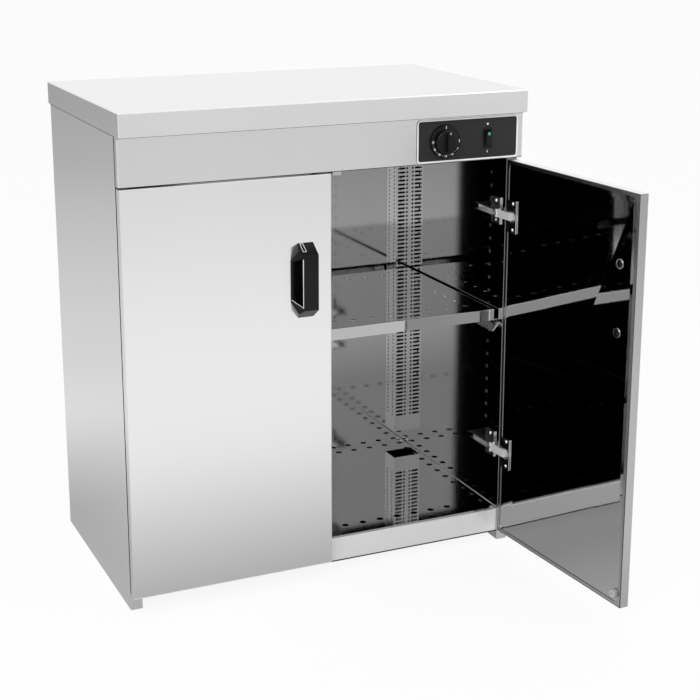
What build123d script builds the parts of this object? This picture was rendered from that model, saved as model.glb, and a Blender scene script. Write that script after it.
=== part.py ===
from build123d import *
import os
from math import cos, radians, sin

os.makedirs("parts", exist_ok=True)

# Plate warmer cabinet with two doors. Millimetres. The origin is on the floor, under the
# centre of the worktop. +X is the right-hand side, +Y the back, +Z up. The left door is
# closed and the right door stands open, which is the rest pose of every joint.

# Cabinet
worktop_width = 750.0
worktop_depth = 470.0
cabinet_height = 870.0
worktop_thickness = 40.0
worktop_sheet = 1.2
worktop_corner = 2.0
side_reveal = 0.6
front_overhang = 32.0
back_overhang = 15.0
casing_sheet = 1.0
side_wall = 21.0
back_wall = 14.0
liner_sheet = 0.8
fit_gap = 0.3

# Insulation slabs
side_slab_thickness = 15.0
back_slab_thickness = 10.0
floor_slab_thickness = 8.0
ceiling_slab_thickness = 25.0
slab_margin = 3.0

# Fascia, control plate, floor and deck
fascia_height = 82.0
fascia_setback = 15.0
fascia_lap = 28.0
kick_rail_bottom = 18.0
kick_rail_height = 44.0
kick_rail_recess = 3.0
kick_rail_flange = 22.0
deck_rise = 4.0
deck_setback = 1.5
deck_hole_radius = 6.2
deck_hole_pitch = 35.0
deck_hole_inset = 15.0
deck_front_margin = 38.5
pan_return = 14.0
deck_screw_radius = 2.0
deck_screw_head = 4.0
deck_screw_head_height = 1.5
deck_screw_length = 7.0
deck_screw_inset = 7.0

# Shelf, its clips and the peg holes in the side liners
shelf_sheet = 1.2
shelf_lip = 21.0
shelf_edge_round = 1.0
shelf_side_gap = 5.0
shelf_front_setback = 23.0
shelf_back_setback = 6.0
shelf_hole_radius = 5.0
shelf_hole_pitch = 38.5
shelf_hole_inset = 40.0
peg_hole_radius = 3.0
peg_hole_pitch = 25.0
peg_row_bottom = 235.0
peg_row_count = 20
shelf_peg = 7
peg_front_inset = 53.0
peg_back_inset = 66.0
clip_sheet = 1.5
clip_width = 46.0
clip_point_width = 12.0
clip_drop = 4.0
clip_rise = 24.0
clip_ledge = 13.0
clip_tongue_reach = 16.5
clip_tongue_front = 42.0
clip_tongue_back = 14.0
clip_pin_radius = 2.9
clip_pin_length = 3.0

# Hot-air risers in the two rear corners
riser_width = 30.4
riser_depth = 22.0
riser_rise = 30.0
slot_pitch = 8.3
slot_length = 16.5
slot_height = 4.2
slot_corner_gap = 3.0
slot_first = 36.0
slot_last_margin = 6.0
dot_radius = 2.3
front_dot_inset = 6.4
side_dot_inset = 10.7

# Heating element under the deck
element_radius = 4.0
element_height = 26.0
element_half_width = 230.0
element_front = -110.0
element_back = 165.0
element_bend = 40.0
bracket_sheet = 1.5
bracket_width = 26.0
bracket_cap = 4.0
bracket_front = -40.0
bracket_back = 120.0
terminal_radius = 6.0
terminal_length = 18.0
terminal_socket = 10.0

# Controls
plate_width = 202.0
plate_height = 76.0
plate_right_margin = 10.4
plate_bottom_margin = 1.0
plate_sheet = 1.2
plate_corner = 7.0
knob_inset = 54.6
knob_rise = 36.6
switch_inset = 140.0
switch_rise = 38.0
bush_radius = 5.0
shaft_radius = 3.0
running_gap = 0.05
thermostat_width = 44.0
thermostat_height = 36.0
thermostat_depth = 34.0
shaft_seat = 18.0
skirt_radius = 30.0
skirt_rim_radius = 28.5
skirt_height = 4.0
skirt_gap = 0.8
grip_radius = 21.5
grip_height = 9.0
grip_edge = 1.5
bar_width = 8.0
bar_height = 8.0
bar_shortfall = 7.0
shaft_in_grip = 8.0
bezel_width = 16.0
bezel_height = 36.0
bezel_thickness = 2.0
bezel_corner = 2.0
housing_width = 14.0
housing_height = 31.0
housing_depth = 22.0
rocker_width = 10.0
rocker_height = 26.5
rocker_axis_depth = 4.0
rocker_front = 7.5
rocker_back = 5.0
rocker_side_gap = 0.5
rocker_end_gap = 1.0
rocker_tilt = 7.0
rocker_well = 13.0
rocker_pin_radius = 1.2
rocker_pin_length = 1.7
lens_size = 5.0
lens_depth = 1.2
lens_proud = 0.4
lens_rise = 8.5

# Sensor, terminal block and cable gland
bulb_radius = 3.0
bulb_length = 80.0
bulb_top_drop = 40.0
bulb_clear = 0.3
capillary_radius = 1.0
capillary_bend = 12.0
capillary_rise = 24.0
capillary_body_inset = 5.0
block_width = 44.0
block_depth = 24.0
block_height = 20.0
block_screw_pitch = 11.0
block_screw_columns = 3
block_screw_rows = 2
block_x = 300.0
block_back_margin = 56.0
gland_x = 300.0
gland_rise = 42.0
gland_radius = 8.0
gland_hex = 11.0
gland_hex_thickness = 5.0
gland_cap_radius = 9.0
gland_cap_length = 9.0
gland_bore_radius = 4.5
gland_thread_length = 12.0
nut_thickness = 5.0
hexagon_sides = 6

# Screws that hold the worktop's core to the casing's top flange
top_screw_radius = 2.5
top_screw_head = 4.5
top_screw_head_height = 2.0
top_screw_length = 14.0
top_screw_inset = 10.0
top_screw_spread = 150.0
top_screw_clear = 0.2

# Doors
door_thickness = 18.0
door_gap = 3.5
door_bottom = 29.0
door_top_gap = 3.0
door_meeting_gap = 5.0
door_sheet = 1.0
door_lip = 7.0
door_edge_round = 1.5
window_corner = 10.0
liner_break = 6.0
liner_flat = 14.0
open_angle = 94.0
pivot_inset = 8.4
pivot_forward = 22.0
bumper_radius = 8.0
bumper_inset = 16.0
bumper_rise = 22.0
bumper_gap = 0.5
bumper_round = 2.6
catch_width = 16.0
catch_inset = 8.0
catch_height = 10.0
catch_depth = 20.0
catch_gap = 0.5

# Handle
handle_height = 132.0
handle_rise = 534.5
handle_edge_inset = 34.5
handle_base_width = 42.0
handle_front_width = 27.0
handle_projection = 26.0
handle_end_slope = 18.0
handle_edge_round = 1.2
handle_corner_width = 13.5
handle_corner_height = 30.0
handle_wall = 2.2
handle_foot = 1.5
handle_lip = 3.0
handle_pocket_height = 88.0
handle_grip_wall = 20.0
handle_screw_inset = 10.0
handle_screw_spread = 58.5
handle_screw_radius = 2.0
handle_screw_head = 5.5
handle_screw_head_height = 1.5
handle_screw_grip = 7.0
access_radius = 7.0
access_rim = 1.3
access_rim_depth = 2.6
access_rim_rise = 0.2
screw_clear = 0.3

# Hinges
hinge_top_drop = 102.0
hinge_bottom_rise = 161.0
cup_inset = 21.0
cup_radius = 12.5
cup_bore_radius = 10.5
cup_bore_depth = 6.0
cup_floor = 1.0
cup_flange_width = 24.0
cup_flange_height = 60.0
cup_flange_thickness = 2.0
cup_screw_spread = 24.0
hinge_screw_radius = 1.7
hinge_screw_head = 3.4
hinge_screw_head_height = 1.5
cup_screw_length = 9.0
eye_inset = 14.8
eye_setback = 5.1
eye_radius = 3.2
hinge_pin_radius = 1.5
eye_gap = 0.1
link_height = 14.0
link_thickness = 2.5
link_slot = 6.6
tongue_height = 6.0
tongue_width = 5.0
hook_offset = 3.0
hook_clear = 0.3
arm_length = 76.0
arm_height = 13.0
arm_depth = 13.0
arm_nose_gap = 3.8
arm_channel_height = 9.0
arm_channel_depth = 8.0
arm_channel_nose = 8.0
plate_thickness = 3.0
plate_length = 32.0
plate_span = 50.0
hinge_plate_setback = 15.0
plate_screw_spread = 18.0
plate_screw_length = 6.0

# Worked-out planes of the cabinet
body_right = worktop_width / 2 - side_reveal
body_front = -worktop_depth / 2 + front_overhang
body_back = worktop_depth / 2 - back_overhang
body_top = cabinet_height - worktop_thickness
wall_face = body_right - side_wall
back_face = body_back - back_wall
fascia_front = -worktop_depth / 2 + fascia_setback
fascia_bottom = body_top - fascia_height
ceiling_height = fascia_bottom + casing_sheet
kick_rail_front = body_front + kick_rail_recess
kick_rail_top = kick_rail_bottom + kick_rail_height
pan_floor = kick_rail_bottom + 2 * liner_sheet
deck_top = kick_rail_top + deck_rise
deck_under = deck_top - liner_sheet
deck_front = kick_rail_front + deck_setback
ledge_top = peg_row_bottom + shelf_peg * peg_hole_pitch + clip_rise
shelf_under = ledge_top + fit_gap
shelf_top = shelf_under + shelf_lip
riser_bottom = deck_top + riser_rise
riser_front = back_face - riser_depth
riser_side = wall_face - riser_width

# Worked-out places of the controls
plate_right = body_right - plate_right_margin
plate_left = plate_right - plate_width
plate_bottom = fascia_bottom + plate_bottom_margin
plate_front = fascia_front - plate_sheet
knob_x = plate_left + knob_inset
knob_z = plate_bottom + knob_rise
switch_x = plate_left + switch_inset
switch_z = plate_bottom + switch_rise
fascia_back = fascia_front + casing_sheet

# Worked-out planes of the closed left door
door_height = fascia_bottom - door_top_gap - door_bottom
door_top = door_bottom + door_height
door_hinge_x = -body_right
door_free_x = -door_meeting_gap / 2
door_inner = body_front - door_gap
door_outer = door_inner - door_thickness
liner_front = door_inner - door_sheet
hinge_heights = (door_top - hinge_top_drop, door_bottom + hinge_bottom_rise)
pivot = Vector(door_hinge_x + pivot_inset, door_inner - pivot_forward, 0)
eye = Vector(-wall_face + eye_inset, body_front + eye_setback, 0)


def slab(x_ends, y_ends, z_ends, mode=Mode.ADD):
    """Adds one straight slab, given by its ends, to the part that is being built."""
    with BuildSketch(Plane.XY.offset(min(z_ends))) as outline:
        with Locations((sum(x_ends) / 2, sum(y_ends) / 2)):
            Rectangle(abs(x_ends[1] - x_ends[0]), abs(y_ends[1] - y_ends[0]))
    extrude(outline.sketch, amount=abs(z_ends[1] - z_ends[0]), mode=mode)


def rod(start, direction, radius, length, mode=Mode.ADD):
    """Adds one round rod from its start along a direction."""
    with BuildSketch(Plane(origin=start, z_dir=direction)) as section:
        Circle(radius)
    extrude(section.sketch, amount=length, mode=mode)


def write(piece, name):
    """Labels one finished piece and writes its file."""
    piece.label = name
    export_step(piece, f"parts/{name}.step")


def ring_points(half_width, front, back, pitch):
    """Evenly spaced points round a rectangle, near the pitch."""
    across = max(1, round(2 * half_width / pitch))
    along = max(1, round((back - front) / pitch))
    step_x = 2 * half_width / across
    step_y = (back - front) / along
    rows = [(-half_width + i * step_x, y) for i in range(across + 1) for y in (front, back)]
    columns = [(x, front + j * step_y) for j in range(1, along) for x in (-half_width, half_width)]
    return rows + columns


def mirrored(piece):
    """The right-hand copy of a left-hand piece."""
    return mirror(piece, about=Plane.YZ)


def swung_open(piece, centre):
    """The right-hand copy of a left-hand piece, turned to the open door about its own axis."""
    axis = Axis((-centre.X, centre.Y, 0), (0, 0, 1))
    return mirrored(piece).rotate(axis, open_angle)


top_screw_points = [
    (side * (body_right - top_screw_inset), y)
    for side in (-1, 1)
    for y in (-top_screw_spread, 0, top_screw_spread)
]

# Casing: one wrap of sheet round the left side, the back and the right side. Folded flanges
# close it at the front, under the worktop and on the floor.
with BuildPart() as outer_casing:
    slab((-body_right, body_right), (body_front, body_back), (0, body_top))
    slab((-wall_face, wall_face), (body_front, back_face), (0, body_top), Mode.SUBTRACT)
    inner = body_right - casing_sheet
    slab(
        (-inner, inner),
        (body_front + casing_sheet, body_back - casing_sheet),
        (casing_sheet, body_top - casing_sheet),
        Mode.SUBTRACT,
    )
    with BuildSketch(Plane(origin=(gland_x, body_back, ceiling_height + gland_rise), z_dir=(0, 1, 0))):
        Circle(gland_radius + fit_gap)
    extrude(amount=-casing_sheet, mode=Mode.SUBTRACT)
    with BuildSketch(Plane.XY.offset(body_top)):
        with Locations(top_screw_points):
            Circle(top_screw_radius + top_screw_clear)
    extrude(amount=-casing_sheet, mode=Mode.SUBTRACT)
write(outer_casing.part, "outer_casing")

# Worktop: a sheet tray turned down on all four sides, over a stiff core.
with BuildPart() as worktop:
    slab(
        (-worktop_width / 2, worktop_width / 2),
        (-worktop_depth / 2, worktop_depth / 2),
        (body_top, cabinet_height),
    )
    fillet(worktop.edges().filter_by(Axis.Z), worktop_corner)
    fillet(worktop.faces().sort_by(Axis.Z)[-1].edges(), worktop_corner)
    core_x = worktop_width / 2 - worktop_sheet
    core_y = worktop_depth / 2 - worktop_sheet
    core_top = cabinet_height - worktop_sheet
    slab((-core_x, core_x), (-core_y, core_y), (body_top, core_top), Mode.SUBTRACT)
write(worktop.part, "worktop")

with BuildPart() as worktop_core:
    slab(
        (-core_x + fit_gap, core_x - fit_gap),
        (-core_y + fit_gap, core_y - fit_gap),
        (body_top, core_top),
    )
    with BuildSketch(Plane.XY.offset(body_top)):
        with Locations(top_screw_points):
            Circle(top_screw_radius + top_screw_clear)
    extrude(amount=top_screw_length, mode=Mode.SUBTRACT)
write(worktop_core.part, "worktop_core")

with BuildPart() as worktop_screws:
    for x, y in top_screw_points:
        flange_under = body_top - casing_sheet
        rod((x, y, flange_under), (0, 0, -1), top_screw_head, top_screw_head_height)
        rod((x, y, flange_under), (0, 0, 1), top_screw_radius, top_screw_length)
write(worktop_screws.part, "worktop_screws")


# Side liners, with two rows of peg holes each, and the screw holes of the hinge plates.
peg_rows = (body_front + peg_front_inset, back_face - peg_back_inset)
hinge_plate_front = body_front + hinge_plate_setback
hinge_plate_middle = hinge_plate_front + plate_length / 2
peg_heights = [peg_row_bottom + i * peg_hole_pitch for i in range(peg_row_count)]
plate_screw_spreads = (-plate_screw_spread, plate_screw_spread)
hinge_screw_heights = [z + spread for z in hinge_heights for spread in plate_screw_spreads]

with BuildPart() as left_side_liner:
    slab(
        (-wall_face - liner_sheet, -wall_face),
        (body_front + casing_sheet, back_face + liner_sheet),
        (casing_sheet, ceiling_height),
    )
    liner_plane = Plane(origin=(-wall_face, 0, 0), x_dir=(0, 1, 0), z_dir=(1, 0, 0))
    with BuildSketch(liner_plane):
        with Locations([(y, z) for y in peg_rows for z in peg_heights]):
            Circle(peg_hole_radius)
        with Locations([(hinge_plate_middle, z) for z in hinge_screw_heights]):
            Circle(hinge_screw_radius + screw_clear)
    extrude(amount=-liner_sheet, mode=Mode.SUBTRACT)
write(left_side_liner.part, "left_side_liner")
write(mirrored(left_side_liner.part), "right_side_liner")

# Back and ceiling liners. The ceiling liner lies on the other liners and on the fascia's lap.
with BuildPart() as back_liner:
    slab(
        (-wall_face, wall_face),
        (back_face, back_face + liner_sheet),
        (casing_sheet, ceiling_height),
    )
write(back_liner.part, "back_liner")

bulb_x = wall_face - riser_width / 2
bulb_y = back_face - bulb_radius - bulb_clear
with BuildPart() as ceiling_liner:
    slab(
        (-wall_face - liner_sheet, wall_face + liner_sheet),
        (body_front + casing_sheet, back_face + liner_sheet),
        (ceiling_height, ceiling_height + liner_sheet),
    )
    with BuildSketch(Plane.XY.offset(ceiling_height)):
        with Locations((bulb_x, bulb_y)):
            Circle(capillary_radius + fit_gap)
    extrude(amount=liner_sheet, mode=Mode.SUBTRACT)
write(ceiling_liner.part, "ceiling_liner")

# Insulation lies against the casing. Air space is left behind the pegs and the hinge screws.
side_slab_outer = body_right - casing_sheet
with BuildPart() as side_insulation:
    for side in (-1, 1):
        slab(
            (side * side_slab_outer, side * (side_slab_outer - side_slab_thickness)),
            (body_front + casing_sheet + slab_margin, body_back - back_wall),
            (casing_sheet, ceiling_height),
        )
write(side_insulation.part, "side_insulation")

with BuildPart() as back_insulation:
    slab(
        (-wall_face, wall_face),
        (body_back - casing_sheet - back_slab_thickness, body_back - casing_sheet),
        (casing_sheet, ceiling_height),
    )
write(back_insulation.part, "back_insulation")

# The ceiling slab stops short of the wiring bay over the right-hand end.
bay_left = knob_x - thermostat_width / 2
bay_front = fascia_front + casing_sheet + thermostat_depth + slab_margin
with BuildPart() as ceiling_insulation:
    slab(
        (-wall_face + slab_margin, bay_left),
        (bay_front, back_face - slab_margin),
        (ceiling_height + liner_sheet, ceiling_height + liner_sheet + ceiling_slab_thickness),
    )
write(ceiling_insulation.part, "ceiling_insulation")

# Kick rail: a channel between the side walls, flanged at the top and the bottom.
kick_end = wall_face - fit_gap
deck_screw_x = (-wall_face + deck_screw_inset, wall_face - deck_screw_inset)
front_deck_screws = [(x, deck_front + deck_screw_inset) for x in deck_screw_x]
back_deck_screws = [(x, back_face - deck_screw_inset) for x in deck_screw_x]
with BuildPart() as kick_rail:
    slab(
        (-kick_end, kick_end),
        (kick_rail_front, kick_rail_front + kick_rail_flange),
        (kick_rail_bottom, kick_rail_top),
    )
    slab(
        (-kick_end, kick_end),
        (kick_rail_front + liner_sheet, kick_rail_front + kick_rail_flange),
        (kick_rail_bottom + liner_sheet, kick_rail_top - liner_sheet),
        Mode.SUBTRACT,
    )
    with BuildSketch(Plane.XY.offset(kick_rail_top)):
        with Locations(front_deck_screws):
            Circle(deck_screw_radius + screw_clear)
    extrude(amount=-liner_sheet, mode=Mode.SUBTRACT)
write(kick_rail.part, "kick_rail")

# Floor pan: a tray between the liners whose turned-in rims carry the deck.
pan_front = kick_rail_front + liner_sheet
with BuildPart() as floor_pan:
    slab((-wall_face, wall_face), (pan_front, back_face), (kick_rail_bottom + liner_sheet, deck_under))
    slab(
        (-wall_face + liner_sheet, wall_face - liner_sheet),
        (pan_front, back_face - liner_sheet),
        (pan_floor, deck_under - liner_sheet),
        Mode.SUBTRACT,
    )
    slab(
        (-wall_face + pan_return, wall_face - pan_return),
        (pan_front, back_face - pan_return),
        (deck_under - liner_sheet, deck_under),
        Mode.SUBTRACT,
    )
    rail_zone = kick_rail_front + kick_rail_flange + fit_gap
    slab((-wall_face, wall_face), (pan_front, rail_zone), (pan_floor, deck_under), Mode.SUBTRACT)
    with BuildSketch(Plane.XY.offset(deck_under)):
        with Locations(back_deck_screws):
            Circle(deck_screw_radius + screw_clear)
    extrude(amount=-liner_sheet, mode=Mode.SUBTRACT)
write(floor_pan.part, "floor_pan")

# Deck: a lift-out sheet with a row of round holes near its edges and a turned-down front lip.
with BuildPart() as bottom_deck:
    deck_side = wall_face - fit_gap
    deck_back = back_face - fit_gap
    slab((-deck_side, deck_side), (deck_front, deck_back), (deck_under, deck_top))
    slab((-deck_side, deck_side), (deck_front, deck_front + liner_sheet), (kick_rail_top, deck_top))
    deck_ring = ring_points(
        wall_face - deck_hole_inset,
        deck_front + deck_front_margin,
        back_face - deck_hole_inset,
        deck_hole_pitch,
    )
    with BuildSketch(Plane.XY.offset(deck_top)):
        with Locations(deck_ring):
            Circle(deck_hole_radius)
        with Locations(front_deck_screws + back_deck_screws):
            Circle(deck_screw_radius + screw_clear)
    extrude(amount=-liner_sheet, mode=Mode.SUBTRACT)
write(bottom_deck.part, "bottom_deck")

with BuildPart() as deck_screws:
    for x, y in front_deck_screws + back_deck_screws:
        rod((x, y, deck_top), (0, 0, 1), deck_screw_head, deck_screw_head_height)
        rod((x, y, deck_top), (0, 0, -1), deck_screw_radius, deck_screw_length)
write(deck_screws.part, "deck_screws")

# Shelf: a sheet turned down on all four sides. It lies loose on the clips.
shelf_side = wall_face - shelf_side_gap
shelf_front = body_front + shelf_front_setback
shelf_back = riser_front - shelf_back_setback
with BuildPart() as upper_shelf:
    slab((-shelf_side, shelf_side), (shelf_front, shelf_back), (shelf_under, shelf_top))
    fillet(upper_shelf.faces().sort_by(Axis.Z)[-1].edges(), shelf_edge_round)
    slab(
        (-shelf_side + shelf_sheet, shelf_side - shelf_sheet),
        (shelf_front + shelf_sheet, shelf_back - shelf_sheet),
        (shelf_under, shelf_top - shelf_sheet),
        Mode.SUBTRACT,
    )
    shelf_ring = ring_points(
        shelf_side - shelf_hole_inset,
        shelf_front + shelf_hole_inset,
        shelf_back - shelf_hole_inset,
        shelf_hole_pitch,
    )
    with BuildSketch(Plane.XY.offset(shelf_top)):
        with Locations(shelf_ring):
            Circle(shelf_hole_radius)
    extrude(amount=-shelf_sheet, mode=Mode.SUBTRACT)
write(upper_shelf.part, "upper_shelf")

# Shelf clips: a V-shaped plate on the side liner with a ledge, a peg in one peg hole and a
# tongue that falls inward at 45 degrees, past the front of the shelf.
clip_peg_z = ledge_top - clip_rise
with BuildPart() as left_clips:
    for y in peg_rows:
        with BuildSketch(Plane(origin=(-wall_face, y, ledge_top), x_dir=(0, 1, 0), z_dir=(1, 0, 0))):
            with BuildLine():
                Polyline(
                    (-clip_width / 2, 0),
                    (clip_width / 2, 0),
                    (clip_point_width / 2, -clip_rise - clip_drop),
                    (-clip_point_width / 2, -clip_rise - clip_drop),
                    close=True,
                )
            make_face()
        extrude(amount=clip_sheet)
        slab(
            (-wall_face, -wall_face + clip_ledge),
            (y - clip_width / 2, y + clip_width / 2),
            (ledge_top - clip_sheet, ledge_top),
        )
        tongue_start = (-wall_face, y + clip_tongue_back, ledge_top)
        with BuildSketch(Plane(origin=tongue_start, x_dir=(1, 0, 0), z_dir=(0, -1, 0))):
            with BuildLine():
                Polyline(
                    (0, 0),
                    (clip_tongue_reach, -clip_tongue_reach),
                    (clip_tongue_reach - clip_sheet, -clip_tongue_reach),
                    (0, -clip_sheet),
                    close=True,
                )
            make_face()
        extrude(amount=clip_tongue_front + clip_tongue_back)
        rod((-wall_face, y, clip_peg_z), (-1, 0, 0), clip_pin_radius, clip_pin_length)
with BuildPart() as shelf_clips:
    add(left_clips.part)
    mirror(about=Plane.YZ)
write(shelf_clips.part, "shelf_clips")

# Risers: an angle of sheet across each rear corner, slotted in front and pierced at the side.
slot_heights = [
    riser_bottom + slot_first + i * slot_pitch
    for i in range(int((ceiling_height - slot_last_margin - riser_bottom - slot_first) / slot_pitch) + 1)
]
with BuildPart() as right_riser_cover:
    riser_ends = (riser_bottom, ceiling_height)
    slab((riser_side, wall_face), (riser_front, riser_front + liner_sheet), riser_ends)
    slab((riser_side, riser_side + liner_sheet), (riser_front, back_face), riser_ends)
    with BuildSketch(Plane(origin=(0, riser_front, 0), x_dir=(1, 0, 0), z_dir=(0, -1, 0))):
        slot_middle = riser_side + slot_corner_gap + slot_length / 2
        with Locations([(slot_middle, z) for z in slot_heights]):
            SlotOverall(slot_length, slot_height)
        with Locations([(wall_face - front_dot_inset, z) for z in slot_heights]):
            Circle(dot_radius)
    extrude(amount=-liner_sheet, mode=Mode.SUBTRACT)
    with BuildSketch(Plane(origin=(riser_side, 0, 0), x_dir=(0, -1, 0), z_dir=(-1, 0, 0))):
        with Locations([(-riser_front - side_dot_inset, z) for z in slot_heights]):
            Circle(dot_radius)
    extrude(amount=-liner_sheet, mode=Mode.SUBTRACT)
write(right_riser_cover.part, "right_riser_cover")
write(mirrored(right_riser_cover.part), "left_riser_cover")

# Heating element: one sheathed tube bent round the floor pan, held by four brackets.
element_z = pan_floor + element_height
with BuildPart() as heating_element:
    with BuildLine(Plane.XY.offset(element_z)) as element_path:
        FilletPolyline(
            (-element_half_width, element_back),
            (-element_half_width, element_front),
            (element_half_width, element_front),
            (element_half_width, element_back),
            radius=element_bend,
        )
    with BuildSketch(Plane(origin=element_path.line @ 0, z_dir=element_path.line % 0)):
        Circle(element_radius)
    sweep()
write(heating_element.part, "heating_element")

element_sides = (-element_half_width, element_half_width)
bracket_places = [(x, y) for x in element_sides for y in (bracket_front, bracket_back)]
bracket_top = element_z + element_radius + bracket_cap
with BuildPart() as element_brackets:
    for x, y in bracket_places:
        slab(
            (x - bracket_width / 2, x + bracket_width / 2),
            (y, y + bracket_sheet),
            (pan_floor, bracket_top),
        )
        rod((x, y, element_z), (0, 1, 0), element_radius + eye_gap, bracket_sheet, Mode.SUBTRACT)
write(element_brackets.part, "element_brackets")

with BuildPart() as element_terminals:
    for x in element_sides:
        mouth = (x, element_back - terminal_socket, element_z)
        rod(mouth, (0, 1, 0), terminal_radius, terminal_length)
        rod(mouth, (0, 1, 0), element_radius + eye_gap, terminal_socket, Mode.SUBTRACT)
write(element_terminals.part, "element_terminals")

with BuildPart() as floor_insulation:
    slab(
        (-wall_face + liner_sheet + slab_margin, wall_face - liner_sheet - slab_margin),
        (kick_rail_front + kick_rail_flange + slab_margin, back_face - liner_sheet - slab_margin),
        (pan_floor, pan_floor + floor_slab_thickness),
    )
    for x, y in bracket_places:
        slab(
            (x - bracket_width / 2 - fit_gap, x + bracket_width / 2 + fit_gap),
            (y - fit_gap, y + bracket_sheet + fit_gap),
            (pan_floor, pan_floor + floor_slab_thickness),
            Mode.SUBTRACT,
        )
write(floor_insulation.part, "floor_insulation")


# Controls, drawn on planes that face the front
def front_plane(y, x=0.0, z=0.0):
    return Plane(origin=(x, y, z), x_dir=(1, 0, 0), z_dir=(0, -1, 0))


def control_cutouts(y, depth):
    """Cuts the thermostat's hole and the switch's hole through a sheet behind y."""
    with BuildSketch(front_plane(y)) as holes:
        with Locations((knob_x, knob_z)):
            Circle(bush_radius + fit_gap)
        with Locations((switch_x, switch_z)):
            Rectangle(housing_width + 2 * fit_gap, housing_height + 2 * fit_gap)
    extrude(holes.sketch, amount=-depth, mode=Mode.SUBTRACT)


with BuildPart() as fascia:
    slab((-body_right, body_right), (fascia_front, body_front), (fascia_bottom, body_top))
    fillet(fascia.faces().sort_by(Axis.Y)[0].edges().filter_by(Axis.Z), door_edge_round)
    slab(
        (-body_right + casing_sheet, body_right - casing_sheet),
        (fascia_back, body_front),
        (fascia_bottom + casing_sheet, body_top - casing_sheet),
        Mode.SUBTRACT,
    )
    lap_end = wall_face - fit_gap
    slab((-lap_end, lap_end), (body_front, body_front + fascia_lap), (fascia_bottom, ceiling_height))
    control_cutouts(fascia_front, casing_sheet)
write(fascia.part, "fascia")

with BuildPart() as control_plate:
    plate_middle = (plate_left + plate_width / 2, plate_bottom + plate_height / 2)
    with BuildSketch(front_plane(fascia_front, *plate_middle)):
        RectangleRounded(plate_width, plate_height, plate_corner)
    extrude(amount=plate_sheet)
    control_cutouts(plate_front, plate_sheet)
write(control_plate.part, "control_plate")

with BuildPart() as thermostat_body:
    slab(
        (knob_x - thermostat_width / 2, knob_x + thermostat_width / 2),
        (fascia_back, fascia_back + thermostat_depth),
        (knob_z - thermostat_height / 2, knob_z + thermostat_height / 2),
    )
    rod((knob_x, fascia_back, knob_z), (0, -1, 0), bush_radius, fascia_back - plate_front)
    with BuildSketch(front_plane(plate_front, knob_x, knob_z)):
        Circle(shaft_radius + running_gap)
    extrude(amount=-(fascia_back - plate_front + shaft_seat), mode=Mode.SUBTRACT)
write(thermostat_body.part, "thermostat_body")

skirt_back = plate_front - skirt_gap
grip_back = skirt_back - skirt_height
with BuildPart() as thermostat_shaft:
    shaft_start = fascia_back + shaft_seat - fit_gap
    shaft_length = shaft_start - grip_back + shaft_in_grip
    rod((knob_x, shaft_start, knob_z), (0, -1, 0), shaft_radius, shaft_length)
write(thermostat_shaft.part, "thermostat_shaft")

with BuildPart() as dial_skirt:
    with BuildSketch(front_plane(skirt_back, knob_x, knob_z)):
        Circle(skirt_radius)
    with BuildSketch(front_plane(grip_back, knob_x, knob_z)):
        Circle(skirt_rim_radius)
    loft()
    shaft_bore = shaft_radius + running_gap
    rod((knob_x, skirt_back, knob_z), (0, -1, 0), shaft_bore, skirt_height, Mode.SUBTRACT)
write(dial_skirt.part, "dial_skirt")

with BuildPart() as knob_grip:
    rod((knob_x, grip_back, knob_z), (0, -1, 0), grip_radius, grip_height)
    chamfer(knob_grip.faces().sort_by(Axis.Y)[0].edges(), grip_edge)
    with BuildSketch(front_plane(grip_back - grip_height, knob_x, knob_z)):
        SlotOverall(2 * grip_radius - bar_shortfall, bar_width, rotation=90)
    extrude(amount=bar_height)
    fillet(knob_grip.faces().sort_by(Axis.Y)[0].edges(), grip_edge)
    shaft_socket = shaft_in_grip + fit_gap
    rod((knob_x, grip_back, knob_z), (0, -1, 0), shaft_bore, shaft_socket, Mode.SUBTRACT)
write(knob_grip.part, "knob_grip")

bezel_front = plate_front - bezel_thickness
rocker_axis_y = bezel_front + rocker_axis_depth
with BuildPart() as switch_housing:
    with BuildSketch(front_plane(plate_front, switch_x, switch_z)):
        RectangleRounded(bezel_width, bezel_height, bezel_corner)
    extrude(amount=bezel_thickness)
    with BuildSketch(front_plane(plate_front, switch_x, switch_z)):
        Rectangle(housing_width, housing_height)
    extrude(amount=-housing_depth)
    with BuildSketch(front_plane(bezel_front, switch_x, switch_z)):
        Rectangle(rocker_width + 2 * rocker_side_gap, rocker_height + 2 * rocker_end_gap)
    extrude(amount=-rocker_well, mode=Mode.SUBTRACT)
    rod(
        (switch_x - housing_width / 2, rocker_axis_y, switch_z),
        (1, 0, 0),
        rocker_pin_radius + running_gap,
        housing_width,
        Mode.SUBTRACT,
    )
write(switch_housing.part, "switch_housing")

# The rocker rests with its lower half pressed in.
tilt = radians(rocker_tilt)
rocker_plane = Plane(
    origin=(switch_x, rocker_axis_y, switch_z),
    x_dir=(1, 0, 0),
    z_dir=(0, -cos(tilt), -sin(tilt)),
)
lens_place = rocker_plane.offset(rocker_front - lens_depth)
with BuildPart() as switch_rocker:
    with BuildSketch(rocker_plane.offset(-rocker_back)):
        Rectangle(rocker_width, rocker_height)
    extrude(amount=rocker_front + rocker_back)
    with BuildSketch(lens_place):
        with Locations((0, lens_rise)):
            Rectangle(lens_size + 2 * running_gap, lens_size + 2 * running_gap)
    extrude(amount=lens_depth, mode=Mode.SUBTRACT)
    pin_reach = rocker_width / 2 + rocker_pin_length
    rod((switch_x - pin_reach, rocker_axis_y, switch_z), (1, 0, 0), rocker_pin_radius, 2 * pin_reach)
write(switch_rocker.part, "switch_rocker")

with BuildPart() as indicator_lens:
    with BuildSketch(lens_place):
        with Locations((0, lens_rise)):
            Rectangle(lens_size, lens_size)
    extrude(amount=lens_depth + lens_proud)
write(indicator_lens.part, "indicator_lens")

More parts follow.
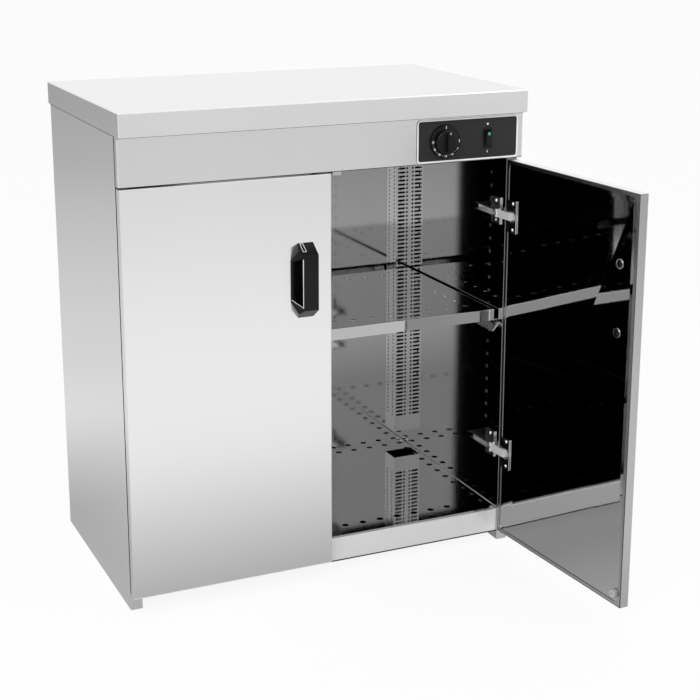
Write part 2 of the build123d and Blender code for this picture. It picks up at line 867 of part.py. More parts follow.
# Sensor bulb in the right riser, with its capillary up through the ceiling to the thermostat
bulb_top = ceiling_height - bulb_top_drop
capillary_z = ceiling_height + capillary_rise
capillary_y = fascia_back + thermostat_depth - capillary_body_inset
with BuildPart() as sensor_bulb:
    with BuildLine() as capillary_path:
        FilletPolyline(
            (bulb_x, bulb_y, bulb_top),
            (bulb_x, bulb_y, capillary_z),
            (bulb_x, capillary_y, capillary_z),
            (knob_x + thermostat_width / 2, capillary_y, capillary_z),
            radius=capillary_bend,
        )
    with BuildSketch(Plane(origin=capillary_path.line @ 0, z_dir=capillary_path.line % 0)):
        Circle(capillary_radius)
    sweep()
    rod((bulb_x, bulb_y, bulb_top), (0, 0, -1), bulb_radius, bulb_length)
write(sensor_bulb.part, "sensor_bulb")

with BuildPart() as terminal_block:
    block_foot = ceiling_height + liner_sheet
    block_y = back_face - block_back_margin
    slab(
        (block_x - block_width / 2, block_x + block_width / 2),
        (block_y - block_depth / 2, block_y + block_depth / 2),
        (block_foot, block_foot + block_height),
    )
    with BuildSketch(Plane.XY.offset(block_foot + block_height)):
        with Locations((block_x, block_y)):
            with GridLocations(
                block_screw_pitch, block_depth / 2, block_screw_columns, block_screw_rows
            ):
                Circle(shaft_radius)
    extrude(amount=-block_height / 2, mode=Mode.SUBTRACT)
write(terminal_block.part, "terminal_block")

# Cable gland through the back of the wiring bay, and its nut inside
gland_z = ceiling_height + gland_rise
gland_plane = Plane(origin=(gland_x, body_back, gland_z), z_dir=(0, 1, 0))
with BuildPart() as cable_gland:
    with BuildSketch(gland_plane):
        RegularPolygon(gland_hex, hexagon_sides)
    extrude(amount=gland_hex_thickness)
    with BuildSketch(gland_plane.offset(gland_hex_thickness)):
        Circle(gland_cap_radius)
    extrude(amount=gland_cap_length)
    with BuildSketch(gland_plane.offset(-gland_thread_length)):
        Circle(gland_radius)
    extrude(amount=gland_thread_length)
    with BuildSketch(gland_plane.offset(-gland_thread_length)):
        Circle(gland_bore_radius)
    extrude(amount=gland_thread_length + gland_hex_thickness + gland_cap_length, mode=Mode.SUBTRACT)
write(cable_gland.part, "cable_gland")

with BuildPart() as gland_nut:
    with BuildSketch(gland_plane.offset(-casing_sheet)):
        RegularPolygon(gland_hex, hexagon_sides)
        Circle(gland_radius + running_gap, mode=Mode.SUBTRACT)
    extrude(amount=-nut_thickness)
write(gland_nut.part, "gland_nut")

# Door catches under the fascia's lap, one for each door
with BuildPart() as door_catches:
    for side in (-1, 1):
        slab(
            (side * catch_inset, side * (catch_inset + catch_width)),
            (door_inner + catch_gap, door_inner + catch_gap + catch_depth),
            (fascia_bottom - catch_height, fascia_bottom),
        )
write(door_catches.part, "door_catches")

# Doors. Each piece is drawn as the closed left door. Its mirror image, swung open, is the
# right door's piece.
handle_right = door_free_x - handle_edge_inset
handle_left = handle_right - handle_base_width
handle_z = door_bottom + handle_rise
handle_front = door_outer - handle_projection
cup_x = door_hinge_x + cup_inset
cup_mouth = liner_front + cup_flange_thickness
cup_back = cup_mouth - cup_bore_depth - cup_floor
cup_screw_spreads = (-cup_screw_spread, cup_screw_spread)
cup_screw_heights = [z + spread for z in hinge_heights for spread in cup_screw_spreads]
core_back = liner_front - liner_sheet - liner_break - fit_gap
handle_screw_x = handle_right - handle_screw_inset
handle_screw_heights = (handle_z - handle_screw_spread, handle_z + handle_screw_spread)


def hinge_and_handle_holes(y, cup_depth, screw_depth):
    """Cuts the cup holes, screw holes and access holes into a sheet or core behind its inner face."""
    with BuildSketch(front_plane(y)) as cup_holes:
        with Locations([(cup_x, z) for z in hinge_heights]):
            Circle(cup_radius + fit_gap)
    extrude(cup_holes.sketch, amount=cup_depth, mode=Mode.SUBTRACT)
    with BuildSketch(front_plane(y)) as screw_holes:
        with Locations([(cup_x, z) for z in cup_screw_heights]):
            Circle(hinge_screw_radius + screw_clear)
        with Locations([(handle_screw_x, z) for z in handle_screw_heights]):
            Circle(access_radius)
    extrude(screw_holes.sketch, amount=screw_depth, mode=Mode.SUBTRACT)


with BuildPart() as door_skin:
    slab((door_hinge_x, door_free_x), (door_outer, door_inner), (door_bottom, door_top))
    skin_faces = door_skin.faces().sort_by(Axis.Y)
    fillet(skin_faces[0].edges() + skin_faces[-1].edges(), door_edge_round)
    slab(
        (door_hinge_x + door_sheet, door_free_x - door_sheet),
        (door_outer + door_sheet, door_inner - door_sheet),
        (door_bottom + door_sheet, door_top - door_sheet),
        Mode.SUBTRACT,
    )
    door_middle_x = (door_hinge_x + door_free_x) / 2
    door_middle_z = (door_bottom + door_top) / 2
    door_width = door_free_x - door_hinge_x
    with BuildSketch(front_plane(door_inner, door_middle_x, door_middle_z)):
        RectangleRounded(door_width - 2 * door_lip, door_height - 2 * door_lip, window_corner)
    extrude(amount=door_sheet, mode=Mode.SUBTRACT)
    with BuildSketch(front_plane(door_outer)):
        with Locations([(handle_screw_x, z) for z in handle_screw_heights]):
            Circle(handle_screw_radius + screw_clear)
    extrude(amount=-door_sheet, mode=Mode.SUBTRACT)

# The liner is cross-broken: folds from its corners to its middle dish it into the door.
liner_width = door_width - 2 * door_sheet - 2 * fit_gap
liner_height = door_height - 2 * door_sheet - 2 * fit_gap
dish_width = liner_width - 2 * liner_flat
dish_height = liner_height - 2 * liner_flat
with BuildPart() as door_liner:
    with BuildSketch(front_plane(liner_front, door_middle_x, door_middle_z)):
        Rectangle(liner_width, liner_height)
    extrude(amount=liner_sheet)
    for face_y, mode in ((liner_front - liner_sheet, Mode.ADD), (liner_front, Mode.SUBTRACT)):
        with BuildSketch(front_plane(face_y, door_middle_x, door_middle_z), mode=Mode.PRIVATE) as dish:
            Rectangle(dish_width, dish_height)
        dish_middle = Vertex(door_middle_x, face_y - liner_break, door_middle_z)
        loft([dish.sketch.face(), dish_middle], ruled=True, mode=mode)
    rim_back = liner_front - access_rim_depth
    for z in handle_screw_heights:
        rim_length = access_rim_depth + access_rim_rise
        rod((handle_screw_x, rim_back, z), (0, 1, 0), access_radius + access_rim, rim_length)
        rod((handle_screw_x, rim_back, z), (0, 1, 0), access_radius, rim_length, Mode.SUBTRACT)
    liner_depth = liner_sheet + liner_break
    hinge_and_handle_holes(liner_front, liner_depth, liner_depth)

with BuildPart() as door_core:
    slab(
        (door_hinge_x + door_sheet, door_free_x - door_sheet),
        (door_outer + door_sheet, core_back),
        (door_bottom + door_sheet, door_top - door_sheet),
    )
    core_depth = core_back - door_outer - door_sheet
    hinge_and_handle_holes(core_back, core_back - cup_back + fit_gap, core_depth)

with BuildPart() as door_handle:
    with BuildSketch(Plane.XY.offset(handle_z - handle_height / 2)):
        with BuildLine():
            Polyline(
                (handle_left, door_outer),
                (handle_right - handle_front_width, handle_front),
                (handle_right, handle_front),
                (handle_right, door_outer),
                close=True,
            )
        make_face()
    extrude(amount=handle_height)
    end_plane = Plane(origin=(handle_left, door_outer, handle_z), x_dir=(0, -1, 0), z_dir=(1, 0, 0))
    with BuildSketch(end_plane):
        with BuildLine():
            Polyline(
                (0, handle_height / 2),
                (handle_projection, handle_height / 2 - handle_end_slope),
                (handle_projection, handle_end_slope - handle_height / 2),
                (0, -handle_height / 2),
                close=True,
            )
        make_face()
    extrude(amount=handle_base_width, mode=Mode.INTERSECT)
    fillet(door_handle.faces().sort_by(Axis.Y)[0].edges(), handle_edge_round)
    corner_rise = handle_height / 2 - handle_corner_height
    with BuildSketch(front_plane(door_outer, handle_left, handle_z)):
        with BuildLine():
            Polyline(
                (0, -corner_rise),
                (handle_corner_width, -handle_height / 2),
                (handle_base_width, -handle_height / 2),
                (handle_base_width, handle_height / 2),
                (handle_corner_width, handle_height / 2),
                (0, corner_rise),
                close=True,
            )
        make_face()
    extrude(amount=handle_projection, mode=Mode.INTERSECT)
    pocket_rise = corner_rise - handle_lip
    pocket_depth = handle_base_width - handle_grip_wall
    with BuildSketch(front_plane(door_outer - handle_foot, handle_left, handle_z)):
        with BuildLine():
            Polyline(
                (0, -pocket_rise),
                (handle_corner_width, -handle_pocket_height / 2),
                (pocket_depth, -handle_pocket_height / 2),
                (pocket_depth, handle_pocket_height / 2),
                (handle_corner_width, handle_pocket_height / 2),
                (0, pocket_rise),
                close=True,
            )
        make_face()
    extrude(amount=handle_projection - handle_foot - handle_wall, mode=Mode.SUBTRACT)
    with BuildSketch(front_plane(door_outer)):
        with Locations([(handle_screw_x, z) for z in handle_screw_heights]):
            Circle(handle_screw_radius + running_gap)
    extrude(amount=handle_screw_grip + running_gap, mode=Mode.SUBTRACT)

with BuildPart() as handle_screws:
    head_seat = door_outer + door_sheet
    for z in handle_screw_heights:
        rod((handle_screw_x, head_seat, z), (0, 1, 0), handle_screw_head, handle_screw_head_height)
        shank = door_sheet + handle_screw_grip
        rod((handle_screw_x, head_seat, z), (0, -1, 0), handle_screw_radius, shank)

bumper_reach = kick_rail_front - bumper_gap - liner_front
with BuildPart() as door_bumper:
    bumper_z = door_bottom + bumper_rise
    rod((door_free_x - bumper_inset, liner_front, bumper_z), (0, 1, 0), bumper_radius, bumper_reach)
    fillet(door_bumper.faces().sort_by(Axis.Y)[-1].edges(), bumper_round)

with BuildPart() as hinge_cups:
    for z in hinge_heights:
        with BuildSketch(front_plane(cup_mouth, cup_x, z)):
            RectangleRounded(cup_flange_width, cup_flange_height, door_edge_round)
            with Locations([(0, spread) for spread in cup_screw_spreads]):
                Circle(hinge_screw_radius + screw_clear, mode=Mode.SUBTRACT)
        extrude(amount=cup_flange_thickness)
        rod((cup_x, cup_mouth, z), (0, -1, 0), cup_radius, cup_mouth - cup_back)
        rod((cup_x, cup_mouth, z), (0, -1, 0), cup_bore_radius, cup_bore_depth, Mode.SUBTRACT)

with BuildPart() as cup_screws:
    for z in cup_screw_heights:
        rod((cup_x, cup_mouth, z), (0, 1, 0), hinge_screw_head, hinge_screw_head_height)
        rod((cup_x, cup_mouth, z), (0, -1, 0), hinge_screw_radius, cup_screw_length)

door_pieces = {
    "door_skin": door_skin.part,
    "door_liner": door_liner.part,
    "door_core": door_core.part,
    "door_handle": door_handle.part,
    "handle_screws": handle_screws.part,
    "door_bumper": door_bumper.part,
    "hinge_cups": hinge_cups.part,
    "cup_screws": cup_screws.part,
}
for name, piece in door_pieces.items():
    write(piece, f"left_{name}")
    write(swung_open(piece, pivot), f"right_{name}")

# Hinge links. Each turns on its arm's pin, and its hook ends in the cup of the open door.
turn = radians(open_angle)
reach_x, reach_y = eye.X - pivot.X, eye.Y - pivot.Y
met_x = pivot.X + reach_x * cos(turn) - reach_y * sin(turn)
met_y = pivot.Y + reach_x * sin(turn) + reach_y * cos(turn)
hook_x = eye.X + cup_x - hook_offset - met_x
hook_y = eye.Y + cup_mouth - cup_bore_depth + hook_clear - met_y
with BuildPart() as hinge_links:
    for z in hinge_heights:
        low, high = z - link_height / 2, z + link_height / 2
        slab((eye.X, hook_x), (eye.Y - link_thickness / 2, eye.Y + link_thickness / 2), (low, high))
        slab((hook_x - link_thickness, hook_x), (hook_y, eye.Y), (low, high))
        rod((eye.X, eye.Y, low), (0, 0, 1), eye_radius, link_height)
        slot_reach = eye_radius + eye_gap
        slab(
            (eye.X - slot_reach, eye.X + slot_reach),
            (eye.Y - slot_reach, eye.Y + slot_reach),
            (z - link_slot / 2, z + link_slot / 2),
            Mode.SUBTRACT,
        )
        rod((eye.X, eye.Y, low), (0, 0, 1), hinge_pin_radius + eye_gap, link_height, Mode.SUBTRACT)
write(hinge_links.part, "left_hinge_links")
write(swung_open(hinge_links.part, eye), "right_hinge_links")

# Fixed half of each hinge: a plate screwed to the side liner, an arm and a pin
plate_face = -wall_face + plate_thickness
arm_front = eye.Y + arm_nose_gap
arm_crest = plate_face + arm_depth
with BuildPart() as left_hinge_arms:
    for z in hinge_heights:
        slab(
            (plate_face, arm_crest),
            (arm_front, arm_front + arm_length),
            (z - arm_height / 2, z + arm_height / 2),
        )
        slab(
            (arm_crest - arm_channel_depth, arm_crest),
            (arm_front + arm_channel_nose, arm_front + arm_length),
            (z - arm_channel_height / 2, z + arm_channel_height / 2),
            Mode.SUBTRACT,
        )
        slab(
            (eye.X - tongue_width / 2, eye.X + tongue_width / 2),
            (eye.Y, arm_front),
            (z - tongue_height / 2, z + tongue_height / 2),
        )
        rod((eye.X, eye.Y, z - tongue_height / 2), (0, 0, 1), eye_radius, tongue_height)
        rod(
            (eye.X, eye.Y, z - tongue_height / 2),
            (0, 0, 1),
            hinge_pin_radius + running_gap,
            tongue_height,
            Mode.SUBTRACT,
        )
with BuildPart() as left_hinge_pins:
    for z in hinge_heights:
        rod((eye.X, eye.Y, z - link_height / 2), (0, 0, 1), hinge_pin_radius, link_height)
with BuildPart() as left_hinge_plates:
    for z in hinge_heights:
        slab(
            (-wall_face, plate_face),
            (hinge_plate_front, hinge_plate_front + plate_length),
            (z - plate_span / 2, z + plate_span / 2),
        )
    with BuildSketch(Plane(origin=(plate_face, 0, 0), x_dir=(0, 1, 0), z_dir=(1, 0, 0))):
        with Locations([(hinge_plate_middle, z) for z in hinge_screw_heights]):
            Circle(hinge_screw_radius + screw_clear)
    extrude(amount=-plate_thickness, mode=Mode.SUBTRACT)
with BuildPart() as left_hinge_plate_screws:
    for z in hinge_screw_heights:
        rod((plate_face, hinge_plate_middle, z), (1, 0, 0), hinge_screw_head, hinge_screw_head_height)
        rod((plate_face, hinge_plate_middle, z), (-1, 0, 0), hinge_screw_radius, plate_screw_length)

fixed_hinge_pieces = {
    "hinge_arms": left_hinge_arms.part,
    "hinge_pins": left_hinge_pins.part,
    "hinge_plates": left_hinge_plates.part,
    "hinge_plate_screws": left_hinge_plate_screws.part,
}
for name, left_piece in fixed_hinge_pieces.items():
    with BuildPart() as both_sides:
        add(left_piece)
        mirror(about=Plane.YZ)
    write(both_sides.part, name)
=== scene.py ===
from math import atan2, cos, pi, radians, sin

import bmesh
import bpy
from mathutils import Matrix, Vector


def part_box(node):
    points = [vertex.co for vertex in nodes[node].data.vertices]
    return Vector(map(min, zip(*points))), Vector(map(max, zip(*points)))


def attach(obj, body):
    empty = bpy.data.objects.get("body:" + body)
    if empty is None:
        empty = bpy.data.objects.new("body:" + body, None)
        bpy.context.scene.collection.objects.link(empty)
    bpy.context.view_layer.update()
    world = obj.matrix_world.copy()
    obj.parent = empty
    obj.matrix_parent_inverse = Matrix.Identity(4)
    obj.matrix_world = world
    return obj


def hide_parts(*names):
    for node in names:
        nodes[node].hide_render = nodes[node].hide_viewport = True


# lengths are in metres and angles in degrees, unless a note says otherwise

bpy.ops.wm.read_factory_settings(use_empty=True)
bpy.context.scene.view_settings.view_transform = "Standard"
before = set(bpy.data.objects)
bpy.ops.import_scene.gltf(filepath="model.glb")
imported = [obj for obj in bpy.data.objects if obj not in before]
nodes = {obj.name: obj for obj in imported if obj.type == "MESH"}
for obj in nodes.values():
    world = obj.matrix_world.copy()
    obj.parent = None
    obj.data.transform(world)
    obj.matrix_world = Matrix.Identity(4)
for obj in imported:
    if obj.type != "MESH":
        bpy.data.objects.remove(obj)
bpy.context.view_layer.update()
print("plate warmer: frame loaded,", len(nodes), "CAD nodes")


class Signal:
    # a socket of a finish, so that shader maths reads as plain expressions
    def __init__(self, finish, socket):
        self.finish = finish
        self.socket = socket

    def maths(self, operation, *values):
        return self.finish.node("ShaderNodeMath", {"operation": operation}, dict(enumerate(values)))

    def __add__(self, other):
        return self.maths("ADD", self, other)

    def __sub__(self, other):
        return self.maths("SUBTRACT", self, other)

    def __rsub__(self, other):
        return self.maths("SUBTRACT", other, self)

    def __mul__(self, other):
        return self.maths("MULTIPLY", self, other)

    def __truediv__(self, other):
        return self.maths("DIVIDE", self, other)

    def __pow__(self, other):
        return self.maths("POWER", self, other)

    def __gt__(self, other):
        return self.maths("GREATER_THAN", self, other)

    __radd__ = __add__
    __rmul__ = __mul__


class Finish:
    # one material, or the world, and its nodes
    def __init__(self, name, owner=None):
        self.owner = owner or bpy.data.materials.new(name)
        self.owner.use_nodes = True
        self.tree = self.owner.node_tree
        self.tree.nodes.clear()

    def feed(self, socket, value):
        if isinstance(value, Signal):
            self.tree.links.new(value.socket, socket)
        else:
            socket.default_value = value

    def node(self, kind, settings=None, sockets=None, out=0):
        made = self.tree.nodes.new(kind)
        for name, value in (settings or {}).items():
            if name == "stops":
                ramp = made.color_ramp.elements
                while len(ramp) < len(value):
                    ramp.new(1.0)
                for stop, (place, color) in zip(ramp, value):
                    stop.position = place
                    stop.color = color
            else:
                setattr(made, name, value)
        for name, value in (sockets or {}).items():
            self.feed(made.inputs[name], value)
        return Signal(self, made.outputs[out]) if made.outputs else made

    def along(self, axis):
        # the object coordinate along one axis
        place = self.node("ShaderNodeTexCoord", out="Object")
        return self.node("ShaderNodeSeparateXYZ", None, {"Vector": place}, axis)

    def noise(self, stretch, detail=2.0, roughness=0.5):
        place = self.node("ShaderNodeTexCoord", out="Object")
        mapped = self.node("ShaderNodeMapping", None, {"Vector": place, "Scale": stretch})
        sockets = {"Vector": mapped, "Scale": 1.0, "Detail": detail, "Roughness": roughness}
        return self.node("ShaderNodeTexNoise", None, sockets, "Fac")

    def mixColors(self, factor, first, second):
        sockets = {0: factor, 6: first, 7: second}
        return self.node("ShaderNodeMix", {"data_type": "RGBA"}, sockets, 2)

    def bump(self, height, strength, distance, below=None):
        sockets = {"Height": height, "Strength": strength, "Distance": distance}
        if below:
            sockets["Normal"] = below
        return self.node("ShaderNodeBump", None, sockets, "Normal")

    def principled(self, sockets):
        shader = self.node("ShaderNodeBsdfPrincipled", None, sockets)
        self.node("ShaderNodeOutputMaterial", None, {"Surface": shader})
        return self.owner


def grey(value):
    return (value, value, value, 1.0)


def darkened(tint, share):
    return tuple(share * value for value in tint[:3]) + (1.0,)


# Finishes: a size is in waves per metre, a depth is a bump's strength and distance

satinLook = {
    "light": 0.87,
    "dark": 0.83,
    "roughness": 0.24,
    "grainAcross": 900.0,
    "grainAlong": 5.0,
    "grainDetail": 3.0,
    "grainBreak": 0.6,
    "grainRoughness": 0.08,
    "grainDepth": (0.035, 0.0003),
    "smudgeSize": (3.0, 3.0, 2.2),
    "smudgeDetail": 3.0,
    "smudgeRoughness": 0.06,
    "waveSize": (1.9, 1.9, 1.3),
    "waveDetail": 1.0,
    "waveDepth": (0.16, 0.003),
}


def satinSteel(name, grainAxis, finish=None, tone=1.0, metallic=1.0):
    # fine brushing along one axis, faint cloudy smudges and a slow waviness of the sheet; tone scales
    # its colour, which paints shade or light onto a copy
    finish = finish or Finish(name)
    stretch = [satinLook["grainAcross"]] * 3
    stretch[grainAxis] = satinLook["grainAlong"]
    grain = finish.noise(stretch, satinLook["grainDetail"], satinLook["grainBreak"])
    smudge = finish.noise(satinLook["smudgeSize"], satinLook["smudgeDetail"])
    wave = finish.noise(satinLook["waveSize"], satinLook["waveDetail"])
    level = (grain + smudge) / 2 * (satinLook["light"] - satinLook["dark"]) + satinLook["dark"]
    grainy = (grain - 0.5) * satinLook["grainRoughness"]
    smudged = (smudge - 0.5) * satinLook["smudgeRoughness"]
    wavy = finish.bump(wave, *satinLook["waveDepth"])
    return finish.principled({
        "Base Color": level * tone,
        "Metallic": metallic,
        "Roughness": satinLook["roughness"] + grainy + smudged,
        "Normal": finish.bump(grain, *satinLook["grainDepth"], wavy),
    })


polishLook = {
    "hazeSize": (5.0, 5.0, 4.0),
    "hazeDetail": 4.0,
    "hazeRoughness": 0.02,
    "hairSize": (260.0, 260.0, 260.0),
    "hairDepth": (0.02, 0.0003),
    "waveSize": (2.6, 2.6, 2.6),
    "waveDetail": 1.0,
    "waveDepth": (0.10, 0.003),
}


def polishedSteel(name, light, dark, roughness):
    # mirror sheet: hairline scratches, finger haze and a slight unevenness
    finish = Finish(name)
    haze = finish.noise(polishLook["hazeSize"], polishLook["hazeDetail"])
    wave = finish.noise(polishLook["waveSize"], polishLook["waveDetail"])
    hair = finish.noise(polishLook["hairSize"])
    wavy = finish.bump(wave, *polishLook["waveDepth"])
    return finish.principled({
        "Base Color": finish.mixColors(haze, grey(dark), grey(light)),
        "Metallic": 1.0,
        "Roughness": roughness + haze * polishLook["hazeRoughness"],
        "Normal": finish.bump(hair, *polishLook["hairDepth"], wavy),
    })


platedLook = {
    "pitSize": (420.0, 420.0, 420.0),
    "pitDepth": (0.15, 0.0002),
    "cloudSize": (40.0, 40.0, 40.0),
    "cloudDetail": 3.0,
    "cloudTone": 0.8,
    "cloudRoughness": 0.12,
}


def platedMetal(name, tint, roughness):
    # nickel or zinc plating with fine pits
    finish = Finish(name)
    pits = finish.noise(platedLook["pitSize"])
    cloud = finish.noise(platedLook["cloudSize"], platedLook["cloudDetail"])
    return finish.principled({
        "Base Color": finish.mixColors(cloud, darkened(tint, platedLook["cloudTone"]), tint),
        "Metallic": 1.0,
        "Roughness": roughness + cloud * platedLook["cloudRoughness"],
        "Normal": finish.bump(pits, *platedLook["pitDepth"]),
    })


plasticLook = {
    "driftSize": (30.0, 30.0, 30.0),
    "driftDetail": 3.0,
    "driftTone": 0.75,
    "driftRoughness": 0.08,
    "textureRise": 0.0003,
}


def mouldedPlastic(name, tint, roughness, textureSize, textureDepth, gloss=0.5):
    # moulded plastic with a fine spark-eroded texture and slight colour drift
    finish = Finish(name)
    texture = finish.noise((textureSize, textureSize, textureSize))
    drift = finish.noise(plasticLook["driftSize"], plasticLook["driftDetail"])
    return finish.principled({
        "Base Color": finish.mixColors(drift, darkened(tint, plasticLook["driftTone"]), tint),
        "Roughness": roughness + drift * plasticLook["driftRoughness"],
        "Specular IOR Level": gloss,
        "Normal": finish.bump(texture, textureDepth, plasticLook["textureRise"]),
    })


clearLook = {
    "cloudSize": (120.0, 120.0, 120.0),
    "cloudTone": 0.85,
    "cloudRoughness": 0.1,
    "refraction": 1.45,
}


def clearFinish(name, tint, roughness, transmission):
    # tinted see-through plastic or rubber, slightly clouded
    finish = Finish(name)
    cloud = finish.noise(clearLook["cloudSize"])
    return finish.principled({
        "Base Color": finish.mixColors(cloud, darkened(tint, clearLook["cloudTone"]), tint),
        "Roughness": roughness + cloud * clearLook["cloudRoughness"],
        "Transmission Weight": transmission,
        "IOR": clearLook["refraction"],
    })


# painted shade: where the door's free edge and inner rim begin, and how dark they are painted
doorShade = {"freeEdge": 0.3625, "lip": 0.0206, "edgePaintedShade": 0.55, "lipPaintedShade": 0.46}


def doorSteel(name, pivot, turn):
    # satin steel with painted shade on its narrow free edge and inner rim; turn is how far the door
    # stands open
    finish = Finish(name)
    x = finish.along("X") - pivot[0]
    y = finish.along("Y") - pivot[1]
    side = -1.0 if pivot[0] > 0 else 1.0
    across = x * (side * cos(turn)) + y * (side * sin(turn))
    inward = x * -sin(turn) + y * cos(turn)
    tone = (across > doorShade["freeEdge"]) * (doorShade["edgePaintedShade"] - 1.0) + 1.0
    tone = tone * ((inward > doorShade["lip"]) * (doorShade["lipPaintedShade"] - 1.0) + 1.0)
    return satinSteel(name, 2, finish, tone)


casingShade = {"front": -0.2024, "footTop": 0.066, "rimTone": 0.30}


def casingSteel(name):
    # satin steel whose narrow front rim, in the shade between door and liner, is darker
    finish = Finish(name)
    beforeFront = (casingShade["front"] - finish.along("Y")) > 0.0
    rim = beforeFront * (finish.along("Z") > casingShade["footTop"])
    return satinSteel(name, 2, finish, rim * (casingShade["rimTone"] - 1.0) + 1.0)


rightDoor = {"pivot": (0.366, -0.2285, 0.0), "turn": 94.0}
leftPivot = (-rightDoor["pivot"][0], rightDoor["pivot"][1])
finishes = {
    "satinCasing": casingSteel("satinCasing"),
    # painted shade and light: the worktop and fascia are darker copies of the satin steel, the kick
    # rail a lighter, less metallic one
    "satinTop": satinSteel("satinTop", 0, tone=0.95),
    "satinFascia": satinSteel("satinFascia", 0, tone=0.88),
    "satinKick": satinSteel("satinKick", 0, tone=1.1, metallic=0.4),
    "leftDoor": doorSteel("leftDoor", leftPivot, 0.0),
    "rightDoor": doorSteel("rightDoor", rightDoor["pivot"], radians(rightDoor["turn"])),
    "highlightWhite": platedMetal("highlightWhite", (0.97, 0.97, 0.97, 1.0), 0.34),
    # near-black finish for painted shade lines and sheets
    "shadeBlack": mouldedPlastic("shadeBlack", (0.03, 0.03, 0.03, 1.0), 0.6, 500.0, 0.2, 0.2),
    "mirror": polishedSteel("mirror", 0.50, 0.45, 0.02),
    # painted light: the back liner and the riser covers wear lighter copies of the same mirror steel
    "mirrorBackLit": polishedSteel("mirrorBackLit", 0.60, 0.55, 0.06),
    "mirrorRiserLit": polishedSteel("mirrorRiserLit", 0.72, 0.66, 0.10),
    "zinc": platedMetal("zinc", (0.90, 0.90, 0.89, 1.0), 0.12),
    "dullMetal": platedMetal("dullMetal", (0.36, 0.35, 0.34, 1.0), 0.3),
    "sheath": platedMetal("sheath", (0.12, 0.115, 0.11, 1.0), 0.5),
    "galvanised": platedMetal("galvanised", (0.55, 0.57, 0.60, 1.0), 0.38),
    "anthracite": mouldedPlastic("anthracite", (0.020, 0.020, 0.021, 1.0), 0.40, 900.0, 0.25, 0.25),
    "blackGloss": mouldedPlastic("blackGloss", (0.004, 0.004, 0.004, 1.0), 0.12, 500.0, 0.02, 0.22),
    "blackFine": mouldedPlastic("blackFine", (0.006, 0.006, 0.0065, 1.0), 0.24, 1400.0, 0.10, 0.22),
    "whitePlastic": mouldedPlastic("whitePlastic", (0.80, 0.80, 0.78, 1.0), 0.4, 900.0, 0.1),
    "ceramic": mouldedPlastic("ceramic", (0.85, 0.82, 0.74, 1.0), 0.6, 700.0, 0.3),
    "wool": mouldedPlastic("wool", (0.05, 0.048, 0.045, 1.0), 0.9, 260.0, 1.0),
    "board": mouldedPlastic("board", (0.50, 0.38, 0.25, 1.0), 0.8, 300.0, 0.8),
    "insetGrey": mouldedPlastic("insetGrey", (0.85, 0.85, 0.86, 1.0), 0.22, 900.0, 0.05),
    "nickel": mouldedPlastic("nickel", (0.86, 0.86, 0.85, 1.0), 0.22, 900.0, 0.05),
    "markWhite": mouldedPlastic("markWhite", (0.97, 0.97, 0.97, 1.0), 0.45, 900.0, 0.05),
    "clearRubber": clearFinish("clearRubber", (0.55, 0.56, 0.56, 1.0), 0.3, 0.35),
    "greenLens": clearFinish("greenLens", (0.12, 0.62, 0.48, 1.0), 0.1, 0.4),
}

wornBy = {
    "satinCasing": "outer_casing",
    "leftDoor": "left_door_skin",
    "rightDoor": "right_door_skin",
    "satinTop": "worktop",
    "satinFascia": "fascia",
    "satinKick": "kick_rail",
    "mirror": """left_side_liner right_side_liner ceiling_liner bottom_deck upper_shelf
        left_door_liner right_door_liner shelf_clips left_handle_screws right_handle_screws""",
    "mirrorBackLit": "back_liner",
    "mirrorRiserLit": "left_riser_cover right_riser_cover",
    "galvanised": "element_brackets",
    "board": "worktop_core",
    # the insulation is near black, painted shade for what shows through the liners' holes
    "wool": """side_insulation back_insulation ceiling_insulation floor_insulation left_door_core
        right_door_core""",
    "zinc": """worktop_screws deck_screws hinge_arms hinge_pins hinge_plates hinge_plate_screws
        left_hinge_cups right_hinge_cups left_cup_screws right_cup_screws thermostat_shaft""",
    "nickel": "left_hinge_links right_hinge_links",
    "anthracite": "control_plate",
    "blackGloss": "left_door_handle right_door_handle cable_gland gland_nut",
    "blackFine": "dial_skirt knob_grip switch_rocker switch_housing",
    "whitePlastic": "thermostat_body terminal_block door_catches",
    "clearRubber": "left_door_bumper right_door_bumper",
    # the floor pan wears the dark sheath finish as painted shade, so that the deck holes read dark
    "sheath": "heating_element floor_pan",
    "ceramic": "element_terminals",
    "dullMetal": "sensor_bulb",
    "greenLens": "indicator_lens",
}
for finishName, nodeNames in wornBy.items():
    for nodeName in nodeNames.split():
        nodes[nodeName].material_slots[0].material = finishes[finishName]
print("finishes: every CAD node dressed")

# Pieces

making = {
    "weld": 0.000002,  # points that are nearer than this become one
    "sharpFrom": 32.0,
    "flatWithin": 0.6,
    "easeFrom": 38.0,
    "cornerSteps": 6,
    "roundCorner": 0.49,  # a corner's radius as a share of a mark's width
    "softCorner": 0.3,
}


def finishPiece(name, shape, finishName, body, slot, *replaced):
    # turns a shape into an object that rides on a body, smooth but for its sharp edges
    bmesh.ops.remove_doubles(shape, verts=shape.verts, dist=making["weld"])
    bmesh.ops.recalc_face_normals(shape, faces=shape.faces)
    mesh = bpy.data.meshes.new(name)
    shape.to_mesh(mesh)
    shape.free()
    mesh.materials.append(finishes[finishName])
    mesh.shade_smooth()
    mesh.set_sharp_from_angle(angle=radians(making["sharpFrom"]))
    piece = bpy.data.objects.new(name, mesh)
    bpy.context.scene.collection.objects.link(piece)
    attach(piece, body)
    if replaced:
        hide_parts(*replaced)
    return piece


